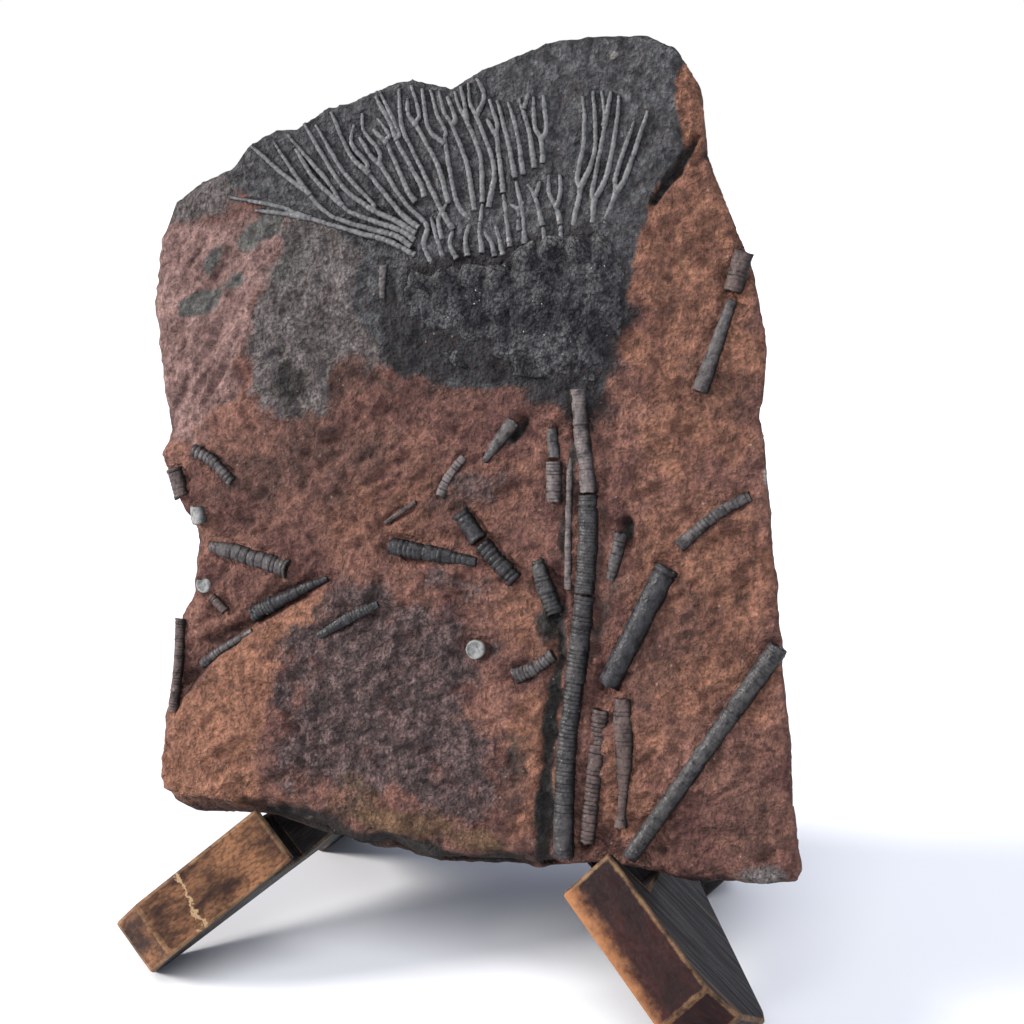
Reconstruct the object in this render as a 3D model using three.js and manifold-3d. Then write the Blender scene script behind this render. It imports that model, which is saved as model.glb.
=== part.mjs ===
// Crinoid fossil plate: a slab of red-brown rock carrying one crown, its stem and
// loose stem fragments, standing on two slip-together wooden boards.
// Millimetres, +Z up, front towards -Y, origin at the bottom centre of the whole.

import * as THREE from 'three';
import { mergeVertices } from 'three/addons/utils/BufferGeometryUtils.js';
import Module from 'manifold-3d';

const wasm = await Module();
wasm.setup();

// ---------------------------------------------------------------- driving sizes
const degrees = THREE.MathUtils.degToRad;

const LEAN = degrees(11); // the slab and the boards' front edges lean back
const GAP = 0.3; // clearance between neighbouring solids

const BOARD_THICKNESS = 20;
const LEG_SLOPE = degrees(43); // each board's tilt, seen from the front
const LIP_SPAN = 116; // between the outer corners of the two lips
const LIP_TIP = 2.5; // thickness of the lip at its tip
const LIP_FOOT = 6; // thickness of the lip at its foot
const NOTCH_DEPTH = 16; // lip tip to notch floor
const NOTCH_BACK = 38.5; // lip front to the wall that the slab leans on
const SUPPORT_TOP = 150; // end of the board behind the slab
const HALF_LAP = 60; // where the two cross slots meet
const GROUND = -58.5; // floor level below the lip tips

const SLAB_FRONT = 7; // slab's front plane, behind the lips
const SLAB_THICKNESS = 31;
const SLAB_TAPER = 0.05; // how much smaller the back is than the front
const SLAB_SAG = 9; // how much lower the underside runs at the back
const LEFT_SAG = 0.107; // further drop of the underside for each millimetre to the left
const SAG_REACH = 70; // height up the slab over which the underside's drop fades out
const SIDE_BULGE = 0.02; // how much fuller the edges are half way back
const MID_HEIGHT = 120; // height about which the outline narrows and bulges

// Relief of the rock: how deep, and the places between which it sets in.
const CROWN_FLAT = { from: 120, to: 150 }; // above this the face is flat under the crown
const LEFT_FALL = { depth: 5, from: 70, to: 108 };
const RIGHT_FALL = { depth: 4, from: 62, to: 100 };
const FACE_WAVE = 0.5; // height of each of the two waves across the face
const BACK_STEP = 0.8; // how far the back stands in from flat, on average
const BACK_WAVE = 0.7;

const ARM_WIDTH = 1.5;
const ARM_HEIGHT = 1.1;
const CUP_HEIGHT = 6;

// Slab outline, clockwise from the lower left corner.
const SLAB_OUTLINE = [
  [-96, 1], [-97, 13], [-96, 38], [-94, 58], [-88, 68], [-88, 82], [-90, 92], [-98, 102],
  [-103, 113], [-101, 120], [-104, 137], [-108, 163], [-107, 184], [-102, 196], [-92, 203],
  [-80, 206], [-73, 214], [-64, 219], [-57, 219], [-48, 225], [-40, 227], [-25, 233],
  [-19, 234], [-6, 231], [4, 237], [15, 241], [25, 245], [36, 246], [55, 246], [64, 242],
  [71, 232], [74, 213], [83, 193], [90, 177], [95, 159], [96, 140], [95, 134], [97, 126],
  [99, 109], [105, 70], [111, 24], [115, 0], [114, -4], [104, -6], [82, -8], [65, -6],
  [52, -6], [33, -10], [21, -10], [0, -12], [-15, -9], [-26, -9], [-41, -6], [-61, -1],
  [-80, 0], [-90, -1],
];

// Outline of the cup, clockwise from its left end.
const CUP_OUTLINE = [
  [-18, 168], [-15, 174.5], [-10, 172.5], [-5, 175], [2, 176.5], [8, 176], [14, 176.5],
  [17, 181], [22, 184], [27, 185.5], [34, 185.5], [40, 186.5], [46, 186.5], [51, 180],
  [53, 170], [52, 158], [49, 147], [45, 142], [33, 142], [15, 143], [0, 145], [-8, 152],
  [-17, 160],
];

// Arms in order from the left: a main line from the cup to a tip, then its side branches.
const ARMS = [
  [[[-14.5, 179], [-24.5, 183.5], [-35, 186], [-50, 190], [-63, 194], [-78.5, 196.5]],
    [[-50, 190], [-60, 191.5], [-69.5, 192.5]]],
  [[[-16, 181.7], [-22, 185], [-38, 189], [-46.5, 193], [-56, 203.5], [-64, 214]],
    [[-50.5, 197.5], [-59, 203], [-72, 213]]],
  [[[-15, 183.5], [-20, 186.6], [-34, 191], [-39.5, 194], [-44.5, 201], [-59.5, 216.5]],
    [[-39.5, 194], [-49.5, 202.5], [-56.5, 212]]],
  [[[-14.6, 185.8], [-22.5, 190], [-28.5, 192.4], [-30, 195.5], [-39.5, 204.5], [-50, 219.5]],
    [[-28.5, 192.4], [-37.5, 198], [-43, 204], [-54, 220]]],
  [[[-13.8, 187.5], [-19.5, 191.5], [-31, 204], [-32, 207.5], [-37.5, 213.5], [-37, 219.5]],
    [[-31, 204], [-38, 210.5], [-45, 223.5]]],
  [[[-9, 176.5], [-12, 182.5], [-11.5, 188.5], [-19, 195.5], [-27, 206.5], [-28, 211],
    [-33.5, 217.5], [-34.5, 223]], [[-27, 206.5], [-31, 210], [-35, 215.5]]],
  [[[-15.3, 195.5], [-18, 199], [-25.5, 213.5], [-25, 216], [-29.2, 221.4]],
    [[-25.5, 213.5], [-30.5, 218]]],
  [[[-12.5, 197], [-14, 201], [-22.5, 214.5], [-22, 217], [-29, 230]],
    [[-22.5, 214.5], [-25.2, 220.4], [-30.2, 228.2]]],
  [[[-2.5, 187], [-7, 193.5], [-16.5, 210.5], [-21, 219], [-22.5, 230.5]]],
  [[[-4.5, 195], [-8.5, 206.5], [-16, 219], [-15.5, 222.5], [-18.5, 231.5]],
    [[-16, 219], [-19, 222.5], [-19.5, 227.5]]],
  [[[3, 190], [-2, 196], [-6.5, 213.5], [-6.5, 217], [-9.5, 222.3], [-12.2, 230]],
    [[-6.5, 213.5], [-12, 218], [-15, 230.5]]],
  [[[4, 193], [1, 206.5], [-4.5, 219], [-7, 222.5], [-9.4, 229.5]],
    [[-4.5, 219], [-3.8, 221.5], [-6.7, 227.8]]],
  [[[6.5, 195.5], [5, 209.5], [0, 220.5], [-2.4, 224.5], [-4.4, 229.5]],
    [[0, 220.5], [-1, 226], [-2.5, 231]]],
  [[[8.5, 194], [9.5, 206.5], [3, 222], [1, 225.5], [0, 232]],
    [[3, 222], [5, 226], [5, 229], [2.5, 233.5]]],
  [[[13, 198.5], [10, 215.5], [10, 219], [7, 227]], [[10, 215.5], [6.5, 221]]],
  [[[16.5, 203], [13.5, 214.5], [9.5, 226.5]]],
  [[[19, 204], [16.5, 216.5], [13, 226]]],
  [[[22.5, 206], [20, 217.5], [16.5, 227]], [[18, 224], [19.5, 228.5]]],
  [[[25, 207.5], [24, 214.5], [22, 218.5], [21, 227.5]], [[24, 214.5], [25.5, 218], [24, 228]]],
  [[[18.5, 187], [18, 193], [15.5, 195]], [[18, 193], [19.5, 196]]],
  [[[26, 188.5], [23, 197.5], [20.5, 201]], [[23, 197.5], [24.5, 202]]],
  [[[31.5, 189], [30, 194], [27.5, 198.5], [27, 204]], [[30, 194], [31, 198.5], [30.5, 204]]],
  [[[35.5, 188.5], [37, 199.5], [36, 203], [37.5, 215.5], [36.5, 227.5]],
    [[37, 199.5], [41, 211.5], [39.5, 229]]],
  [[[41.5, 189.5], [41.5, 196], [41, 200], [43.5, 218.5], [42, 229]],
    [[41.5, 196], [45, 204], [47, 217], [47.5, 227.5]], [[43.5, 218.5], [45, 229]]],
  [[[45, 189.5], [48, 198.5], [48, 204.5], [52.5, 220]], [[48, 198.5], [51, 204], [56.5, 223]]],
];

// The long stem, in the lengths that it has broken into: route and radius.
const MAIN_STEM = [
  { route: [[40, 139.5], [41, 128], [43.5, 116], [44.6, 108]], radius: 2.5 },
  { route: [[44.6, 107.5], [45.3, 92], [45, 77]], radius: 3.1 },
  { route: [[45, 76.5], [43.2, 50], [42, 30], [42, 10], [42.6, -5]], radius: 3.2 },
];

// Loose stem lengths: start, end, and the radius at each.
const FRAGMENTS = {
  side_stem: { from: [38, 121], to: [39.7, 78], r: [1.0, 1.3] },
  lower_stem: { from: [52, 42], to: [49.6, 0], r: [2.6, 2.4] },
  tapered_stem: { from: [58.5, 46], to: [59.8, 6], r: [3.2, 1.3] },
  thick_diagonal_stem: { from: [70, 87], to: [53.6, 49.5], r: [3.8, 3.4] },
  long_right_stem: { from: [104.5, 66], to: [63, -3], r: [3.1, 2.4] },
  slate_stem: { from: [93.5, 110], to: [73, 93.5], r: [1.7, 2.1] },
  right_tapered_stem: { from: [84.5, 168], to: [76.5, 140], r: [1.7, 2.6] },
  right_edge_stem: { from: [87, 182], to: [84.5, 170], r: [3.0, 3.0] },
  upper_short_stem: { from: [20, 129], to: [10.5, 115.5], r: [2.5, 1.2] },
  black_ribbed_stem: { from: [-19, 87.5], to: [10, 84.3], r: [2.9, 1.4] },
  thick_ribbed_stem: { from: [3.5, 99.5], to: [10.5, 91], r: [2.8, 2.9] },
  thick_ribbed_stem_end: { from: [11.3, 90.2], to: [23, 79.5], r: [2.9, 2.8] },
  ribbed_rough_stem: { from: [29.5, 86.5], to: [36, 70], r: [2.5, 3.2] },
  narrow_centre_stem: { from: [32, 127], to: [33.3, 118], r: [1.9, 2.1] },
  broken_centre_stem: { from: [33.2, 117.2], to: [34, 104.5], r: [2.6, 2.6] },
  hollow_edge_stem: { from: [55.5, 96.5], to: [52.8, 82], r: [2.6, 1.9] },
  small_ribbed_stem: { from: [24, 49.5], to: [36, 57.5], r: [2.2, 2.2] },
  left_edge_stem: { from: [-97, 108], to: [-93, 98.5], r: [2.8, 2.8] },
  arched_ribbed_stem: { from: [-90, 114.5], to: [-74, 104.5], r: [2.2, 1.9] },
  pale_stump: { from: [-86.8, 96], to: [-86, 90], r: [2.4, 2.6] },
  left_ribbed_stem: { from: [-82, 83], to: [-54, 77.5], r: [2.6, 3.0] },
  small_left_stem: { from: [-81, 66.5], to: [-75.5, 62], r: [1.6, 1.6] },
  forked_left_stem: { from: [-40, 75.5], to: [-66, 61.5], r: [1.2, 3.0] },
  slender_lower_stem: { from: [-65, 56.5], to: [-83, 43.5], r: [1.0, 1.7] },
  left_margin_stem: { from: [-92.5, 58], to: [-92.5, 27], r: [1.8, 1.8] },
};

const DISCS = {
  centre_columnal_disc: { at: [11, 57], radius: 3.1 },
  left_columnal_disc: { at: [-84, 70], radius: 2.7 },
};

const DISC_SUNK = 1.2; // depth of a disc below the face
const DISC_PROUD = 1; // height of a disc above the face
const DISC_SIDES = 14;

const STEM_SIDES = 8;
const STEM_LIFT = 0.25; // share of its radius by which a stem's axis stands proud

// ---------------------------------------------------------------- materials
const finish = (color, roughness) =>
  new THREE.MeshStandardMaterial({ color, roughness, metalness: 0 });

const materials = {
  matrix: finish(0x7a4b3a, 0.92),
  fossil: finish(0x43474a, 0.8),
  disc: finish(0x8f8f8a, 0.8),
  wood: finish(0x3d2518, 0.6),
};

// ---------------------------------------------------------------- solid helpers
/** Closed solid from a geometry: shared vertices merged, faces pointing out. */
function solidOf(geometry) {
  const bare = geometry.clone();
  bare.deleteAttribute('normal');
  bare.deleteAttribute('uv');
  const merged = mergeVertices(bare, 1e-4);
  const points = merged.attributes.position.array;
  const corners = [];
  for (let i = 0; i < merged.index.count; i += 3) {
    const [a, b, c] = [0, 1, 2].map((k) => merged.index.getX(i + k));
    if (a !== b && b !== c && c !== a) corners.push(a, b, c);
  }
  const build = (triVerts) =>
    new wasm.Manifold(new wasm.Mesh({ numProp: 3, vertProperties: points, triVerts }));
  const solid = build(Uint32Array.from(corners));
  if (solid.volume() > 0) return solid;
  for (let i = 0; i < corners.length; i += 3) {
    [corners[i + 1], corners[i + 2]] = [corners[i + 2], corners[i + 1]];
  }
  return build(Uint32Array.from(corners));
}

/** The largest body of a solid, so that a cut leaves no loose crumbs. */
function largestBody(solid) {
  return solid.decompose().reduce((best, body) => (body.volume() > best.volume() ? body : best));
}

/** Flat-shaded geometry of a solid. */
function geometryOf(solid) {
  const { vertProperties, triVerts } = solid.getMesh();
  const geometry = new THREE.BufferGeometry();
  geometry.setAttribute('position', new THREE.BufferAttribute(vertProperties, 3));
  geometry.setIndex(new THREE.BufferAttribute(triVerts, 1));
  geometry.computeVertexNormals();
  return geometry;
}

/** Named mesh of a solid. */
function meshOf(name, solid, material) {
  const mesh = new THREE.Mesh(geometryOf(solid), material);
  mesh.name = name;
  return mesh;
}

const outlineShape = (points) => new THREE.Shape(points.map(([x, y]) => new THREE.Vector2(x, y)));

/** Smooth in-plane route at one height above the slab's front plane. */
function routeAt(points, height) {
  return new THREE.CatmullRomCurve3(
    points.map(([u, w]) => new THREE.Vector3(u, w, height)), false, 'centripetal',
  );
}

// ---------------------------------------------------------------- slab
/** Broad relief of the rock face: zero at the crown, uneven elsewhere. */
function frontRelief(u, w) {
  const { smoothstep } = THREE.MathUtils;
  const atCrown = smoothstep(w, CROWN_FLAT.from, CROWN_FLAT.to);
  const waves = Math.sin(u * 0.071 + w * 0.043) + Math.sin(w * 0.093 - u * 0.05 + 1.3);
  const left = LEFT_FALL.depth * smoothstep(-u, LEFT_FALL.from, LEFT_FALL.to);
  const right = RIGHT_FALL.depth * smoothstep(u, RIGHT_FALL.from, RIGHT_FALL.to) * atCrown;
  return FACE_WAVE * (waves - 1) * (1 - atCrown) - left - right;
}

/** Uneven broken back of the slab. */
function backRelief(u, w) {
  return BACK_STEP + BACK_WAVE * Math.sin(u * 0.06 + 0.4) * Math.cos(w * 0.05);
}

/** Box whose front and back faces carry the relief. */
function reliefBlock() {
  const block = new THREE.BoxGeometry(240, 280, SLAB_THICKNESS, 22, 26, 1);
  block.translate(4, 115, -SLAB_THICKNESS / 2);
  const place = block.attributes.position;
  for (let i = 0; i < place.count; i += 1) {
    const [u, w, n] = [place.getX(i), place.getY(i), place.getZ(i)];
    place.setZ(i, n + (n > -1 ? frontRelief(u, w) : backRelief(u, w)));
  }
  return solidOf(block);
}

/** Prism of the outline that narrows to the back, with an underside that drops. */
function outlinePrism() {
  const margin = 8;
  const prism = new THREE.ExtrudeGeometry(outlineShape(SLAB_OUTLINE), {
    depth: SLAB_THICKNESS + 2 * margin, steps: 3, bevelEnabled: false,
  });
  prism.translate(0, 0, -SLAB_THICKNESS - margin);
  const place = prism.attributes.position;
  for (let i = 0; i < place.count; i += 1) {
    const [u, w, n] = [place.getX(i), place.getY(i), place.getZ(i)];
    const behind = THREE.MathUtils.clamp(-n / SLAB_THICKNESS, 0, 1);
    const bulge = 1 + SIDE_BULGE * Math.sin(Math.PI * behind) - SLAB_TAPER * behind;
    const nearBottom = 1 - THREE.MathUtils.smoothstep(w, 0, SAG_REACH);
    const sag = SLAB_SAG + LEFT_SAG * Math.max(0, -u);
    place.setX(i, u * bulge);
    place.setY(i, MID_HEIGHT + (w - MID_HEIGHT) * bulge - sag * behind * nearBottom);
  }
  return solidOf(prism);
}

// ---------------------------------------------------------------- crown
/** Low rounded mass of the cup, flat underneath. */
function cupSolid() {
  const edge = 4;
  const mass = new THREE.ExtrudeGeometry(outlineShape(CUP_OUTLINE), {
    depth: CUP_HEIGHT - edge, bevelThickness: edge, bevelSize: edge, bevelOffset: -edge,
    bevelSegments: 2,
  });
  const below = new THREE.BoxGeometry(200, 200, 20);
  below.translate(20, 160, GAP - 10);
  return solidOf(mass).subtract(solidOf(below));
}

/** One arm: flat-backed ridges along its main line and side branches, joined. */
function armSolid(lines) {
  const half = ARM_WIDTH / 2;
  const ridge = outlineShape([
    [0, -half], [-ARM_HEIGHT * 0.7, -half * 0.75], [-ARM_HEIGHT, 0],
    [-ARM_HEIGHT * 0.7, half * 0.75], [0, half],
  ]);
  const bodies = lines.map((line) => solidOf(new THREE.ExtrudeGeometry(ridge, {
    steps: line.length + 1, bevelEnabled: false, extrudePath: routeAt(line, GAP),
  })));
  return bodies.reduce((whole, body) => whole.add(body));
}

// ---------------------------------------------------------------- stems
/** The route with both ends moved outwards. */
function lengthened(route, extra) {
  const moved = ([x, y], [fromX, fromY]) => {
    const reach = extra / Math.hypot(x - fromX, y - fromY);
    return [x + (x - fromX) * reach, y + (y - fromY) * reach];
  };
  const inner = route.slice(1, -1);
  return [moved(route[0], route[1]), ...inner, moved(route.at(-1), route.at(-2))];
}

/** Round bar along a route, grown by an allowance for cutting its pocket. */
function barSolid(route, radius, allowance) {
  const curve = routeAt(lengthened(route, allowance), radius * STEM_LIFT);
  const section = outlineShape(Array.from({ length: STEM_SIDES }, (_, i) => {
    const turn = (i / STEM_SIDES) * 2 * Math.PI;
    return [(radius + allowance) * Math.cos(turn), (radius + allowance) * Math.sin(turn)];
  }));
  const steps = 2 * (route.length - 1);
  return solidOf(new THREE.ExtrudeGeometry(section, {
    steps, bevelEnabled: false, extrudePath: curve,
  }));
}

/** Tapered round length from one point to another, grown by an allowance. */
function taperSolid({ from, to, r }, allowance) {
  const start = new THREE.Vector3(...from, r[0] * STEM_LIFT);
  const end = new THREE.Vector3(...to, r[1] * STEM_LIFT);
  const along = end.clone().sub(start);
  const length = along.length();
  const profile = [
    [0, -allowance], [r[0] + allowance, -allowance],
    [r[1] + allowance, length + allowance], [0, length + allowance],
  ].map(([x, y]) => new THREE.Vector2(x, y));
  const lathe = new THREE.LatheGeometry(profile, STEM_SIDES);
  const turn = new THREE.Quaternion().setFromUnitVectors(
    new THREE.Vector3(0, 1, 0), along.normalize(),
  );
  lathe.applyQuaternion(turn);
  lathe.translate(start.x, start.y, start.z);
  return solidOf(lathe);
}

/** Flat round plate half sunk in the rock, grown by an allowance. */
function discSolid({ at, radius }, allowance) {
  const [outer, low] = [radius + allowance, -DISC_SUNK - allowance];
  const profile = [[0, low], [outer, low], [outer, DISC_PROUD], [0, DISC_PROUD]]
    .map(([x, y]) => new THREE.Vector2(x, y));
  const lathe = new THREE.LatheGeometry(profile, DISC_SIDES);
  lathe.rotateX(Math.PI / 2);
  lathe.translate(at[0], at[1], 0);
  return solidOf(lathe);
}

// ---------------------------------------------------------------- boards
// Board profile: s runs up along the leg from the lip tip, d runs back from the lip.
const BOARD_PROFILE = [
  [0, 0], [-46, -14.5], [-59, -9], [-67.5, 5], [-66, 10], [-58, 19.5], [-31, 51],
  [-24, 64], [-27, 84], [-41, 98], [-40, 114], [-30, 116],
  [SUPPORT_TOP - 6, 62], [SUPPORT_TOP, 55], [SUPPORT_TOP, NOTCH_BACK],
  [-NOTCH_DEPTH, NOTCH_BACK], [-NOTCH_DEPTH, LIP_FOOT], [0, LIP_TIP],
];

/** Place of a board: side is -1 for the left foot and 1 for the right foot. */
function boardPlace(side) {
  const up = new THREE.Vector3(-side * Math.cos(LEG_SLOPE), Math.sin(LEG_SLOPE), 0);
  const back = new THREE.Vector3(0, 0, -1);
  const place = new THREE.Matrix4().makeBasis(up, back, up.clone().cross(back));
  return place.setPosition(side * LIP_SPAN / 2, 0, 0);
}

/** Plate in a board's place; its thickness runs inward from the lip's outer corner. */
function boardPlate(side, geometry) {
  geometry.translate(0, 0, side < 0 ? -BOARD_THICKNESS : 0);
  return solidOf(geometry.applyMatrix4(boardPlace(side)));
}

/** Room that one board needs in the other, over a range of depths. */
function crossRoom(side, near, far) {
  const room = new THREE.BoxGeometry(400, far - near, BOARD_THICKNESS + 2 * GAP);
  room.translate(100, (near + far) / 2, BOARD_THICKNESS / 2);
  return boardPlate(side, room);
}

const lean = new THREE.Group();
lean.rotation.x = Math.PI / 2 - LEAN;
lean.updateMatrixWorld(true);

/** Everything under floor level, in the leaning frame. */
function belowFloor() {
  const block = new THREE.BoxGeometry(600, 600, 100);
  block.translate(0, 0, GROUND - 50);
  return solidOf(block.applyMatrix4(lean.matrixWorld.clone().invert()));
}

/** One board with its share of the half-lap, cut level at the floor. */
function boardSolid(side) {
  const plate = boardPlate(side, new THREE.ExtrudeGeometry(outlineShape(BOARD_PROFILE), {
    depth: BOARD_THICKNESS, bevelEnabled: false,
  }));
  const [near, far] = side < 0 ? [0, HALF_LAP + GAP / 2] : [HALF_LAP - GAP / 2, 200];
  return plate.subtract(crossRoom(-side, near, far)).subtract(belowFloor());
}

// ---------------------------------------------------------------- assembly
const rock = new THREE.Group();
rock.position.z = -SLAB_FRONT;

const pockets = [];
MAIN_STEM.forEach(({ route, radius }, i) => {
  rock.add(meshOf(`main_stem_${i + 1}`, barSolid(route, radius, 0), materials.fossil));
  pockets.push(barSolid(route, radius, GAP));
});
for (const [name, fragment] of Object.entries(FRAGMENTS)) {
  rock.add(meshOf(name, taperSolid(fragment, 0), materials.fossil));
  pockets.push(taperSolid(fragment, GAP));
}
for (const [name, disc] of Object.entries(DISCS)) {
  rock.add(meshOf(name, discSolid(disc, 0), materials.disc));
  pockets.push(discSolid(disc, GAP));
}

const rough = reliefBlock().intersect(outlinePrism());
const slab = largestBody(pockets.reduce((rest, pocket) => rest.subtract(pocket), rough));
rock.add(meshOf('matrix_slab', slab, materials.matrix));
rock.add(meshOf('crown_cup', cupSolid(), materials.fossil));
ARMS.forEach((lines, i) => {
  const name = `arm_${String(i + 1).padStart(2, '0')}`;
  rock.add(meshOf(name, armSolid(lines), materials.fossil));
});

lean.add(rock);
lean.add(meshOf('stand_left_board', boardSolid(-1), materials.wood));
lean.add(meshOf('stand_right_board', boardSolid(1), materials.wood));

const plate = new THREE.Group();
plate.add(lean);
plate.updateMatrixWorld(true);
const extent = new THREE.Box3().setFromObject(plate, true);
const middle = extent.getCenter(new THREE.Vector3());
plate.position.set(-middle.x, -middle.y, -extent.min.z);

export default plate;
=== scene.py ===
"""Crinoid fossil plate on a slip-together wooden stand.

A slab of red-brown rock shows one crown: a gritty black cup, a fan of slender jointed
arms, and the stem that runs down from it. Loose lengths of ribbed stem and two round
columnals lie scattered over the rest of the face. The slab leans back on two crossed
boards of dark stained wood.

Lengths on the rock face are in millimetres along its own leaning axes: u to the right,
w up the face and n out of it. Finished meshes are in metres in the frame.
"""

import logging
import math
from dataclasses import dataclass
from enum import Enum

import bmesh
import bpy
import numpy as np
from mathutils import Matrix, Vector


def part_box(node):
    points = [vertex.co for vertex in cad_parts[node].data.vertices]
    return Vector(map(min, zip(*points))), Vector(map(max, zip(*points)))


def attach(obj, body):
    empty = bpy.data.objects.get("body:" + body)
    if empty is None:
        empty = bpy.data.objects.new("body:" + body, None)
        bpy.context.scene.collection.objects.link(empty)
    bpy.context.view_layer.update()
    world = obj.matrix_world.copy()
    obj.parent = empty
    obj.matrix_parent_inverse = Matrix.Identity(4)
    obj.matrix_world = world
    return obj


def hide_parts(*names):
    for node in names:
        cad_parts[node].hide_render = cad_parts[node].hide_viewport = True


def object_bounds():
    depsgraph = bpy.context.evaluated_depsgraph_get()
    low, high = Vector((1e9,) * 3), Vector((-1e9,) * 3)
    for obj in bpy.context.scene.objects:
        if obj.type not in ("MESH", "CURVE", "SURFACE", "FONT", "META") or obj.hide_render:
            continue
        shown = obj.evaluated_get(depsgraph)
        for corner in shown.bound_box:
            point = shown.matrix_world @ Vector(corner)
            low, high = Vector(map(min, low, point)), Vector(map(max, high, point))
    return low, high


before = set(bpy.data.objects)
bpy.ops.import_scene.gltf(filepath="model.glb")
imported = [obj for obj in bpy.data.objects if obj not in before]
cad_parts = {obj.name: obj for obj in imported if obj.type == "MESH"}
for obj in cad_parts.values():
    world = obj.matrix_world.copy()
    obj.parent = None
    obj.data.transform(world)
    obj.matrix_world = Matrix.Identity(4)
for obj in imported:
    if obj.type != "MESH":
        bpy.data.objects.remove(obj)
CAD_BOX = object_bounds()

MM = 0.001
LEAN = math.radians(11.0)
LEG_SLOPE = math.radians(43.0)
CENTRE_DISC = (11.0, 57.0)  # the centre columnal's place (u, w) on the face
DISC_MIDDLE = -0.1  # how far out from the plane of the face that disc's middle lies
SLAB_MIDDLE = 120.0  # height on the face about which the slab's outline tapers
BOX_MARGIN = 0.1 * MM  # how far every piece stays inside the frame's own box
BODY = "root"

Points = tuple[tuple[float, float], ...]
Colour = tuple[float, float, float]

log = logging.getLogger("crinoid")


# ------------------------------------------------------------------ face geometry
SLAB_OUTLINE: Points = (
    (-96, 1), (-97, 13), (-96, 38), (-94, 58), (-88, 68), (-88, 82), (-90, 92), (-98, 102),
    (-103, 113), (-101, 120), (-104, 137), (-108, 163), (-107, 184), (-102, 196), (-92, 203),
    (-80, 206), (-73, 214), (-64, 219), (-57, 219), (-48, 225), (-40, 227), (-25, 233),
    (-19, 234), (-6, 231), (4, 237), (15, 241), (25, 245), (36, 246), (55, 246), (64, 242),
    (71, 232), (74, 213), (83, 193), (90, 177), (95, 159), (96, 140), (95, 134), (97, 126),
    (99, 109), (105, 70), (111, 24), (115, 0), (114, -4), (104, -6), (82, -8), (65, -6),
    (52, -6), (33, -10), (21, -10), (0, -12), (-15, -9), (-26, -9), (-41, -6), (-61, -1),
    (-80, 0), (-90, -1),
)
CUP_OUTLINE: Points = (
    (-18, 168), (-15, 174.5), (-10, 172.5), (-5, 175), (2, 176.5), (8, 176), (14, 176.5),
    (17, 181), (22, 184), (27, 185.5), (34, 185.5), (40, 186.5), (46, 186.5), (51, 180),
    (53, 170), (52, 158), (49, 147), (45, 142), (33, 142), (15, 143), (0, 145), (-8, 152),
    (-17, 160),
)
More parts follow.
